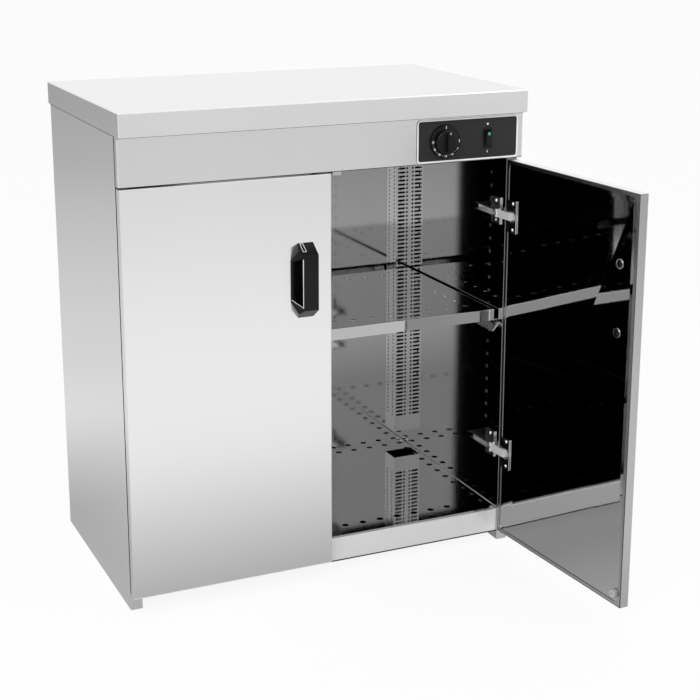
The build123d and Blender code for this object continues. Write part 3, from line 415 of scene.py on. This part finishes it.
def easedCopy(nodeName, name, finishName, body, slot, ease, segments=2):
    # the node's own shape with its sharp edges eased, as pressing or moulding leaves them
    shape = bmesh.new()
    shape.from_mesh(nodes[nodeName].data)
    bmesh.ops.remove_doubles(shape, verts=shape.verts, dist=making["weld"])
    flatWithin = radians(making["flatWithin"])
    bmesh.ops.dissolve_limit(shape, angle_limit=flatWithin, verts=shape.verts, edges=shape.edges)
    piece = finishPiece(name, shape, finishName, body, slot, nodeName)
    bevel = piece.modifiers.new("ease", "BEVEL")
    bevel.width = ease
    bevel.segments = segments
    bevel.angle_limit = radians(making["easeFrom"])
    bevel.harden_normals = True
    return piece


eased = {
    "handle": 0.0006,
    "knob": 0.0005,
    "hinge": 0.00035,
    "gland": 0.0006,
}
for side in ("left", "right"):
    handle, door = side + "_door_handle", side + "_door"
    easedCopy(handle, side + "Handle", "blackGloss", door, "black_gloss", eased["handle"], 3)
easedCopy("knob_grip", "knobGrip", "blackFine", "knob", "knob_black", eased["knob"], 3)
easedCopy("dial_skirt", "dialSkirt", "blackFine", "knob", "knob_black", eased["knob"], 3)
easedCopy("hinge_arms", "hingeArms", "zinc", "cabinet", "bright_zinc", eased["hinge"])
easedCopy("hinge_plates", "hingePlates", "zinc", "cabinet", "bright_zinc", eased["hinge"])
for side in ("left", "right"):
    cups, door = side + "_hinge_cups", side + "_door"
    easedCopy(cups, side + "HingeCups", "zinc", door, "bright_zinc", eased["hinge"])
easedCopy("cable_gland", "cableGland", "blackGloss", "cabinet", "black_gloss", eased["gland"])
print("pieces: handles, knob, hinges and gland eased")

faceFront = Matrix.Rotation(radians(90), 4, "X")
faceSideways = Matrix.Rotation(radians(90), 4, "Y")


def roundedPlate(width, height, corner, place):
    # one flat face with rounded corners that faces the front, centred on place
    shape = bmesh.new()
    bmesh.ops.create_grid(shape, x_segments=1, y_segments=1, size=0.5)
    bmesh.ops.scale(shape, vec=(width, height, 1.0), verts=shape.verts)
    bmesh.ops.bevel(
        shape,
        geom=shape.verts[:],
        offset=corner,
        segments=making["cornerSteps"],
        profile=0.5,
        affect="VERTICES",
        material=-1,
    )
    bmesh.ops.transform(shape, matrix=Matrix.Translation(place) @ faceFront, verts=shape.verts)
    return shape


def thicken(shape, amount):
    bmesh.ops.recalc_face_normals(shape, faces=shape.faces)
    bmesh.ops.solidify(shape, geom=shape.faces[:], thickness=amount)


border = {"width": 0.0027, "corner": 0.007, "inset": 0.0001, "thickness": 0.00015}
plateLow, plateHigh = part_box("control_plate")
plateFront = plateLow[1]
plateMiddle = (
    (plateLow[0] + plateHigh[0]) / 2,
    plateFront - border["thickness"],
    (plateLow[2] + plateHigh[2]) / 2,
)
ring = roundedPlate(
    plateHigh[0] - plateLow[0] - 2 * border["inset"],
    plateHigh[2] - plateLow[2] - 2 * border["inset"],
    border["corner"] - border["inset"],
    plateMiddle,
)
middleFace = ring.faces[:]
bmesh.ops.inset_region(
    ring, faces=middleFace, thickness=border["width"], use_boundary=True, use_even_offset=True
)
bmesh.ops.delete(ring, geom=middleFace, context="FACES")
thicken(ring, border["thickness"])
finishPiece("plateBorder", ring, "markWhite", "cabinet", "control_panel")

switchMarks = {
    "dotSize": 0.0036,
    "barWidth": 0.0012,
    "barHeight": 0.0042,
    "rise": 0.0246,
    "thickness": 0.00012,
}
switchLow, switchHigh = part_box("switch_housing")
switchX = (switchLow[0] + switchHigh[0]) / 2
switchZ = (switchLow[2] + switchHigh[2]) / 2
markY = plateFront - switchMarks["thickness"]
dot = roundedPlate(
    switchMarks["dotSize"],
    switchMarks["dotSize"],
    making["roundCorner"] * switchMarks["dotSize"],
    (switchX, markY, switchZ + switchMarks["rise"]),
)
thicken(dot, switchMarks["thickness"])
finishPiece("switchMarkOff", dot, "markWhite", "cabinet", "control_panel")
stroke = roundedPlate(
    switchMarks["barWidth"],
    switchMarks["barHeight"],
    making["softCorner"] * switchMarks["barWidth"],
    (switchX, markY, switchZ - switchMarks["rise"]),
)
thicken(stroke, switchMarks["thickness"])
finishPiece("switchMarkOn", stroke, "markWhite", "cabinet", "control_panel")
print("pieces: control plate's border and the switch's marks made")


def shapeOf(curve):
    # the mesh of a curve or text, which is then dropped
    holder = bpy.data.objects.new("holder", curve)
    bpy.context.scene.collection.objects.link(holder)
    bpy.context.view_layer.update()
    mesh = bpy.data.meshes.new_from_object(holder.evaluated_get(bpy.context.evaluated_depsgraph_get()))
    shape = bmesh.new()
    shape.from_mesh(mesh)
    bpy.data.objects.remove(holder)
    bpy.data.curves.remove(curve)
    bpy.data.meshes.remove(mesh)
    return shape


lettering = {"boldness": 0.02, "thickness": 0.00005}  # boldness is a share of the height


def letteringShape(words, height):
    # flat letters in the ground plane, centred on the origin
    letters = bpy.data.curves.new("letters", "FONT")
    letters.body = words
    letters.size = height
    letters.align_x = "CENTER"
    letters.align_y = "CENTER"
    letters.offset = lettering["boldness"] * height
    letters.extrude = lettering["thickness"]
    return shapeOf(letters)


def beadShape(points, radius, closed=False):
    # a thin round bead along straight runs
    path = bpy.data.curves.new("bead", "CURVE")
    path.dimensions = "3D"
    path.bevel_depth = radius
    path.bevel_resolution = 1
    path.use_fill_caps = not closed
    run = path.splines.new("POLY")
    run.use_cyclic_u = closed
    run.points.add(len(points) - 1)
    for point, place in zip(run.points, points):
        point.co = (*place, 1.0)
    return shapeOf(path)


def joined(shapes):
    # several shapes as one
    together = bmesh.new()
    for shape in shapes:
        mesh = bpy.data.meshes.new("part")
        shape.to_mesh(mesh)
        shape.free()
        together.from_mesh(mesh)
        bpy.data.meshes.remove(mesh)
    return together


dial = {
    "radius": 0.0252,
    "numerals": ("30", "40", "50", "60", "70", "80", "90"),
    "firstTurn": 90.0,
    "step": 30.0,
    "height": 0.0052,
    "dotSize": 0.0011,
    "stopWidth": 0.0013,
    "stopHeight": 0.0052,
    "thickness": 0.0001,
    "tickWidth": 0.0011,
    "tickHeight": 0.0042,
    "tickDown": 0.0052,
}
skirtLow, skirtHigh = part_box("dial_skirt")
dialMiddle = Vector(((skirtLow[0] + skirtHigh[0]) / 2, skirtLow[1], (skirtLow[2] + skirtHigh[2]) / 2))


def dialPlace(turn, radius, proud=0.0):
    # a frame on the dial's face, turn degrees counter-clockwise from the top
    middle = Matrix.Translation(dialMiddle - Vector((0.0, proud, 0.0)))
    return middle @ Matrix.Rotation(radians(-turn), 4, "Y") @ Matrix.Translation((0.0, 0.0, radius))


def onDial(shape, turn, proud=0.0, lying=None):
    place = dialPlace(turn, dial["radius"], proud)
    bmesh.ops.transform(shape, matrix=place @ lying if lying else place, verts=shape.verts)
    return shape


def flatMark(width, height, cornerShare):
    mark = roundedPlate(width, height, cornerShare * width, (0.0, 0.0, 0.0))
    thicken(mark, dial["thickness"])
    return mark


stopMark = flatMark(dial["stopWidth"], dial["stopHeight"], making["softCorner"])
dialMarks = [onDial(stopMark, 0.0, dial["thickness"])]
for index, numeral in enumerate(dial["numerals"]):
    turn = dial["firstTurn"] + index * dial["step"]
    dialMarks.append(onDial(letteringShape(numeral, dial["height"]), turn, lying=faceFront))
    if index:
        between = flatMark(dial["dotSize"], dial["dotSize"], making["roundCorner"])
        dialMarks.append(onDial(between, turn - dial["step"] / 2, dial["thickness"]))
gripLow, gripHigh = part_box("knob_grip")
tick = flatMark(dial["tickWidth"], dial["tickHeight"], making["softCorner"])
gripMiddle = (gripLow[0] + gripHigh[0]) / 2
tickPlace = (gripMiddle, gripLow[1] - dial["thickness"], gripHigh[2] - dial["tickDown"])
bmesh.ops.translate(tick, vec=tickPlace, verts=tick.verts)
dialMarks.append(tick)
finishPiece("dialMarks", joined(dialMarks), "markWhite", "knob", "knob_black")
print("pieces: dial marked")

handleLow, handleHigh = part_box("left_door_handle")
pivotPlace = Matrix.Translation(rightDoor["pivot"])
toRightDoor = pivotPlace @ Matrix.Rotation(radians(rightDoor["turn"]), 4, "Z") @ pivotPlace.inverted()
toRightDoor = toRightDoor @ Matrix.Scale(-1.0, 4, (1.0, 0.0, 0.0))


def forBothDoors(build, name, finishName, slot):
    # one piece on the left door and its mirror image on the right one
    finishPiece("left" + name, build(), finishName, "left_door", slot)
    shape = build()
    bmesh.ops.transform(shape, matrix=toRightDoor, verts=shape.verts)
    finishPiece("right" + name, shape, finishName, "right_door", slot)


endInset = {
    "backWidth": 0.0060,
    "frontWidth": 0.0068,
    "length": 0.020,
    "across": 0.0197,
    "along": 0.36,
    "slope": 0.018,
    "projection": 0.026,
    "line": 0.0010,
    "thickness": 0.0003,
}
insetPlace = Matrix.Translation((
    handleLow[0] + endInset["across"],
    handleHigh[1] - endInset["projection"] * endInset["along"],
    handleHigh[2] - endInset["slope"] * endInset["along"],
)) @ Matrix.Rotation(atan2(endInset["slope"], endInset["projection"]), 4, "X")


def endFrame():
    # the raised outline on the sloped top end of a handle
    shape = bmesh.new()
    bmesh.ops.create_grid(shape, x_segments=1, y_segments=1, size=0.5)
    for vert in shape.verts:
        vert.co.x *= endInset["frontWidth"] if vert.co.y < 0 else endInset["backWidth"]
        vert.co.y *= endInset["length"]
    middle = shape.faces[:]
    bmesh.ops.inset_region(
        shape, faces=middle, thickness=endInset["line"], use_boundary=True, use_even_offset=True
    )
    bmesh.ops.delete(shape, geom=middle, context="FACES")
    bmesh.ops.solidify(shape, geom=shape.faces[:], thickness=-endInset["thickness"])
    bmesh.ops.transform(shape, matrix=insetPlace, verts=shape.verts)
    return shape


forBothDoors(endFrame, "HandleInset", "insetGrey", "black_gloss")

# where the painted highlight on each handle's finger pocket runs
glintLine = {
    "corner": 0.0139,
    "cornerRise": 0.0425,
    "depth": 0.0014,
    "radius": 0.0009,
    "footRise": 0.0325,
    "foot": 0.0240,
}


def pocketHighlight():
    # a painted highlight: a fine bright bead on the front lip of a handle's finger pocket and along its
    # lower end
    middle = (handleLow[2] + handleHigh[2]) / 2
    lip = (handleLow[0] + glintLine["corner"], handleLow[1] + glintLine["depth"])
    return beadShape([
        (*lip, middle + glintLine["cornerRise"]),
        (*lip, middle - glintLine["cornerRise"]),
        (handleLow[0] + glintLine["depth"], handleLow[1] + glintLine["foot"], middle - glintLine["footRise"]),
    ], glintLine["radius"])


forBothDoors(pocketHighlight, "HandleTrim", "highlightWhite", "black_gloss")
print("pieces: handles highlighted")

# Painted highlights on the sheet metal's folded edges, and painted shade in the gaps between its parts

edge = {
    "radius": 0.0008,
    "sunk": 0.0006,
    "fineBeadRadius": 0.0006,
    "slabShade": 0.0024,
    "shadeLineBack": 0.0008,
    "gapShade": 0.0014,
}
slabLow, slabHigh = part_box("worktop")
fasciaLow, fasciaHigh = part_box("fascia")
casingLow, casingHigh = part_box("outer_casing")
doorLow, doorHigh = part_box("left_door_skin")
shelfLow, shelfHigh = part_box("upper_shelf")
deckLow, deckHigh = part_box("bottom_deck")
sunk = edge["sunk"]


def upright(x, y, low, high, radius=edge["radius"]):
    # a bead along Z
    return beadShape([(x, y, low), (x, y, high)], radius)


def crosswise(left, right, y, z, radius):
    # a bead along X
    return beadShape([(left, y, z), (right, y, z)], radius)


def lengthwise(x, low, high, z):
    # a fine bead along Y, as far as the box between two corners reaches
    return beadShape([(x, low[1], z), (x, high[1], z)], edge["fineBeadRadius"])


def bothSides(build):
    return [build(side) for side in (-1.0, 1.0)]


# painted highlights along the worktop's front corners and top edges
slabEdges = bothSides(lambda side: upright(
    side * (slabHigh[0] - sunk), slabLow[1] + sunk, slabLow[2] + sunk, slabHigh[2] - sunk
))
slabEdges.append(beadShape([
    (slabLow[0] + sunk, slabHigh[1] - sunk, slabHigh[2] - sunk),
    (slabLow[0] + sunk, slabLow[1] + sunk, slabHigh[2] - sunk),
    (slabHigh[0] - sunk, slabLow[1] + sunk, slabHigh[2] - sunk),
    (slabHigh[0] - sunk, slabHigh[1] - sunk, slabHigh[2] - sunk),
], edge["radius"], closed=True))
finishPiece("worktopEdges", joined(slabEdges), "highlightWhite", "cabinet", "satin_steel")
# painted highlights on the fascia's front corners and along the kick rail's top edge
fasciaEdges = bothSides(lambda side: upright(
    side * (fasciaHigh[0] - sunk), fasciaLow[1] + sunk, fasciaLow[2] + sunk, fasciaHigh[2] - sunk
))
railLow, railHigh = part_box("kick_rail")
railFront = railLow[1] + sunk
fasciaEdges.append(crosswise(railLow[0], railHigh[0], railFront, railHigh[2] - sunk, edge["radius"]))
finishPiece("fasciaEdges", joined(fasciaEdges), "highlightWhite", "cabinet", "satin_steel")


def doorOutline(y):
    left, right = doorLow[0] + sunk, doorHigh[0] - sunk
    bottom, top = doorLow[2] + sunk, doorHigh[2] - sunk
    corners = [(left, y, bottom), (right, y, bottom), (right, y, top), (left, y, top)]
    return beadShape(corners, edge["radius"], closed=True)


def ringShape(sides, radius, wire):
    # a round wire ring about the Z axis
    turns = [2 * pi * index / sides for index in range(sides)]
    points = [(radius * cos(turn), radius * sin(turn), 0.0) for turn in turns]
    return beadShape(points, wire, closed=True)


bumperRing = {"wire": 0.0011, "share": 0.62, "sides": 24, "sunk": 0.0008}


def bumperRim():
    # the raised rim of the round bumper in the door's lower corner
    low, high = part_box("left_door_bumper")
    middle = ((low[0] + high[0]) / 2, high[1] - bumperRing["sunk"], (low[2] + high[2]) / 2)
    radius = bumperRing["share"] * (high[0] - low[0]) / 2
    rim = ringShape(bumperRing["sides"], radius, bumperRing["wire"])
    bmesh.ops.transform(rim, matrix=Matrix.Translation(middle) @ faceFront, verts=rim.verts)
    return rim


# painted highlights round each door's front face, and painted shade round its back
forBothDoors(lambda: doorOutline(doorLow[1] + sunk), "DoorEdges", "highlightWhite", "satin_steel")
forBothDoors(lambda: doorOutline(doorHigh[1] - edge["radius"] / 2), "DoorSeam", "shadeBlack", "satin_steel")
forBothDoors(bumperRim, "BumperRing", "whitePlastic", "clear_rubber")

# painted highlights along the shelf's and the deck's side edges, in the nickel finish
shelfEdges = bothSides(lambda side: lengthwise(
    side * (shelfHigh[0] - sunk), shelfLow, shelfHigh, shelfHigh[2] - sunk
))
finishPiece("shelfEdges", joined(shelfEdges), "nickel", "shelf", "polished_steel")
deckEdges = bothSides(lambda side: lengthwise(
    side * (deckHigh[0] - sunk), deckLow, deckHigh, deckHigh[2]
))
finishPiece("deckEdges", joined(deckEdges), "nickel", "cabinet", "polished_steel")

# painted shade: dark beads in the gaps under the worktop, beside and below the fascia, and below the
# kick rail
fine, bold = edge["fineBeadRadius"], edge["gapShade"]
underSlab = slabLow[2] - fine
cornerY = casingLow[1] - edge["shadeLineBack"]
fasciaLeft, fasciaRight = fasciaLow[0] + edge["radius"], fasciaHigh[0] - edge["radius"]
shadeLines = bothSides(lambda side: lengthwise(side * casingHigh[0], casingLow, casingHigh, underSlab))
shadeLines += bothSides(lambda side: upright(
    side * casingHigh[0], cornerY, fasciaLow[2], fasciaHigh[2], fine
))
shadeLines += [
    crosswise(fasciaLow[0], fasciaHigh[0], fasciaLow[1], slabLow[2] - edge["slabShade"], fine),
    crosswise(casingLow[0], casingHigh[0], casingHigh[1], underSlab, fine),
    crosswise(railLow[0], railHigh[0], railFront, railLow[2], bold),
    crosswise(fasciaLeft, fasciaRight, fasciaLow[1] + bold, fasciaLow[2], bold),
]
finishPiece("sheetShadeLines", joined(shadeLines), "shadeBlack", "cabinet", "satin_steel")
print("pieces: edges, joints and bumper rims made")

pegHole = {
    "columns": (-0.150, 0.140),
    "lowest": 0.235,
    "pitch": 0.025,
    "count": 20,
    "radius": 0.0032,
    "wire": 0.00018,
    "sides": 10,
}
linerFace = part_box("right_side_liner")[0][0]


def pegRims(side):
    # grey wire rings round the peg holes in one side liner
    rims = []
    for y in pegHole["columns"]:
        for index in range(pegHole["count"]):
            rim = ringShape(pegHole["sides"], pegHole["radius"], pegHole["wire"])
            height = pegHole["lowest"] + index * pegHole["pitch"]
            place = Matrix.Translation((side * linerFace, y, height)) @ faceSideways
            bmesh.ops.transform(rim, matrix=place, verts=rim.verts)
            rims.append(rim)
    return joined(rims)


finishPiece("pegHoleRims", joined(bothSides(pegRims)), "dullMetal", "cabinet", "polished_steel")

tongue = {"reach": 0.0165, "length": 0.056, "plateBehind": 0.009, "radius": 0.0007}
clipLow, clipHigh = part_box("shelf_clips")


def tongueEdges(side):
    # painted highlights along the free edges of the shelf clips' tongues on one side
    edges = []
    for front in (clipLow[1], clipHigh[1] - tongue["plateBehind"] - tongue["length"]):
        inner, drop = side * (clipHigh[0] - tongue["reach"]), clipHigh[2] - tongue["reach"]
        edges.append(beadShape([
            (side * clipHigh[0], front, clipHigh[2]),
            (inner, front, drop),
            (inner, front + tongue["length"], drop),
        ], tongue["radius"]))
    return joined(edges)


finishPiece("clipEdges", joined(bothSides(tongueEdges)), "highlightWhite", "cabinet", "bright_zinc")

sheetSize = {"gap": 0.0012, "sheet": 0.0004, "ease": 0.00008}


def blockShape(low, high):
    # a sheet between two corners, with its edges eased
    shape = bmesh.new()
    bmesh.ops.create_cube(shape, size=1.0)
    size = [top - bottom for bottom, top in zip(low, high)]
    middle = [(top + bottom) / 2 for bottom, top in zip(low, high)]
    bmesh.ops.scale(shape, vec=size, verts=shape.verts)
    bmesh.ops.translate(shape, vec=middle, verts=shape.verts)
    bmesh.ops.bevel(
        shape,
        geom=shape.edges[:],
        offset=sheetSize["ease"],
        segments=1,
        profile=0.5,
        affect="EDGES",
        material=-1,
    )
    return shape


def riserShadeSheets(nodeName):
    # painted shade: dark sheets on the wall and the back inside a hot-air riser, so that its slots read
    # dark
    low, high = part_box(nodeName)
    side = 1.0 if low[0] > 0 else -1.0
    inner, outer = sorted((low[0], high[0]), key=abs)
    inside = inner + side * sheetSize["gap"]
    wall = outer - side * sheetSize["gap"] / 2
    bottom, top = low[2] + sheetSize["gap"], high[2] - sheetSize["gap"]
    back = high[1] - sheetSize["gap"] / 2
    left, right = sorted((inside, wall))
    wallLeft, wallRight = sorted((wall - side * sheetSize["sheet"], wall))
    return [
        blockShape((left, back - sheetSize["sheet"], bottom), (right, back, top)),
        blockShape((wallLeft, low[1] + sheetSize["gap"], bottom), (wallRight, back, top)),
    ]


riserSheets = riserShadeSheets("left_riser_cover") + riserShadeSheets("right_riser_cover")
finishPiece("riserPaintedShade", joined(riserSheets), "shadeBlack", "cabinet", "component_plastic")
print("pieces: peg holes rimmed, clips edged and risers shaded")

# Camera, light and floor

camera = {
    "place": (-1.0141, -2.5269, 1.1994),
    "turn": 24.170,
    "dip": 14.299,
    "sensor": 36.0,
    "lens": 77.10,
    "shift": (0.0101, -0.10),
}
cameraData = bpy.data.cameras.new("camera")
cameraData.sensor_width = camera["sensor"]
cameraData.lens = camera["lens"]
cameraData.shift_x, cameraData.shift_y = camera["shift"]
cameraObject = bpy.data.objects.new("camera", cameraData)
cameraObject.location = camera["place"]
cameraObject.rotation_euler = (radians(90 - camera["dip"]), 0.0, -radians(camera["turn"]))
bpy.context.scene.collection.objects.link(cameraObject)
bpy.context.scene.camera = cameraObject

studio = {
    "sky": 0.72,
    "floorReach": 40.0,
    "floorSides": 64,
    "floorTint": 0.92,
    "floorWhite": 0.90,
    "sideShade": [
        (0.01, 0.85),
        (0.077, 0.90),
        (0.18, 0.74),
        (0.33, 0.70),
        (0.57, 0.71),
        (0.83, 0.64),
        (1.0, 0.46),
    ],
    "sideFrom": -0.3,
    "sideTo": 0.6,
    "shadeReach": 6.0,
    "shade": [
        (0.01, 0.46),
        (0.03, 0.56),
        (0.06, 0.71),
        (0.11, 0.97),
        (0.15, 1.0),
        (0.24, 1.0),
        (0.37, 0.92),
        (0.55, 0.78),
        (0.70, 0.63),
        (0.78, 0.64),
        (0.93, 0.78),
    ],
    "halfWidth": 0.375,
    "halfDepth": 0.235,
    "keyPower": 60.0,
    "keyPlace": (-2.2, -2.6, 3.4),
    "keySize": 2.6,
    "lightAim": (0.0, 0.0, 0.4),
    "fillPower": 26.0,
    "fillPlace": (2.8, -2.2, 2.2),
    "fillSize": 2.2,
}


def seenBy(finish, *rays):
    # 1 for the named kinds of ray, 0 for the rest
    seen = finish.node("ShaderNodeLightPath", out=rays[0])
    for ray in rays[1:]:
        seen = seen.maths("MAXIMUM", seen, finish.node("ShaderNodeLightPath", out=ray))
    return seen


def seenDirectly(finish):
    return seenBy(finish, "Is Camera Ray", "Is Glossy Ray", "Is Transmission Ray")


sky = bpy.data.worlds.new("studioSky")
bpy.context.scene.world = sky
skyFinish = Finish("studioSky", sky)
skyStrength = seenDirectly(skyFinish) * (1.0 - studio["sky"]) + studio["sky"]
skyLight = skyFinish.node("ShaderNodeBackground", None, {"Color": grey(1.0), "Strength": skyStrength})
skyFinish.node("ShaderNodeOutputWorld", None, {"Surface": skyLight})


def outside(coordinate, half):
    # how far a floor point lies beyond the cabinet's own half width or depth
    beyond = coordinate.maths("ABSOLUTE", coordinate) - half
    return beyond.maths("MAXIMUM", beyond, 0.0)


# painted shade: in what sheet metal reflects, the floor turns to a soft gradient that is darker near
# the cabinet and to its far side, standing in for its shadow and falloff
floorFinish = Finish("floorPaper")
beyondX = outside(floorFinish.along("X"), studio["halfWidth"])
beyondY = outside(floorFinish.along("Y"), studio["halfDepth"])
away = (beyondX * beyondX + beyondY * beyondY) ** 0.5 / studio["shadeReach"]


def byDistance(stops):
    greys = [(place, grey(value)) for place, value in stops]
    return floorFinish.node("ShaderNodeValToRGB", {"stops": greys}, {"Fac": away})


behind = floorFinish.node("ShaderNodeMapRange", None, {
    "Value": floorFinish.along("Y"),
    "From Min": studio["sideFrom"],
    "From Max": studio["sideTo"],
})
reflectedShade = byDistance(studio["shade"]) * (1.0 - behind * (1.0 - byDistance(studio["sideShade"])))
bare = seenBy(floorFinish, "Is Camera Ray", "Is Transmission Ray")
floorColor = floorFinish.mixColors(bare, reflectedShade, grey(1.0))
floorDiffuse = floorFinish.node("ShaderNodeBsdfDiffuse", None, {"Color": grey(studio["floorTint"])})
floorWhite = floorFinish.node("ShaderNodeEmission", None, {"Color": floorColor, "Strength": 1.0})
whiteness = seenDirectly(floorFinish) * studio["floorWhite"]
floorMix = floorFinish.node("ShaderNodeMixShader", None, {0: whiteness, 1: floorDiffuse, 2: floorWhite})
floorFinish.node("ShaderNodeOutputMaterial", None, {"Surface": floorMix})

floorShape = bmesh.new()
bmesh.ops.create_circle(
    floorShape, cap_ends=True, segments=studio["floorSides"], radius=studio["floorReach"]
)
floorMesh = bpy.data.meshes.new("studioFloor")
floorShape.to_mesh(floorMesh)
floorShape.free()
floorMesh.materials.append(floorFinish.owner)
floorObject = bpy.data.objects.new("studioFloor", floorMesh)
bpy.context.scene.collection.objects.link(floorObject)


def softBox(name, power, place, size):
    lamp = bpy.data.lights.new(name, "AREA")
    lamp.energy = power
    lamp.size = size
    lampObject = bpy.data.objects.new(name, lamp)
    lampObject.location = place
    aim = Vector(studio["lightAim"]) - Vector(place)
    lampObject.rotation_euler = aim.to_track_quat("-Z", "Y").to_euler()
    bpy.context.scene.collection.objects.link(lampObject)


softBox("keyLight", studio["keyPower"], studio["keyPlace"], studio["keySize"])
softBox("fillLight", studio["fillPower"], studio["fillPlace"], studio["fillSize"])
print("camera, light and floor: in place")
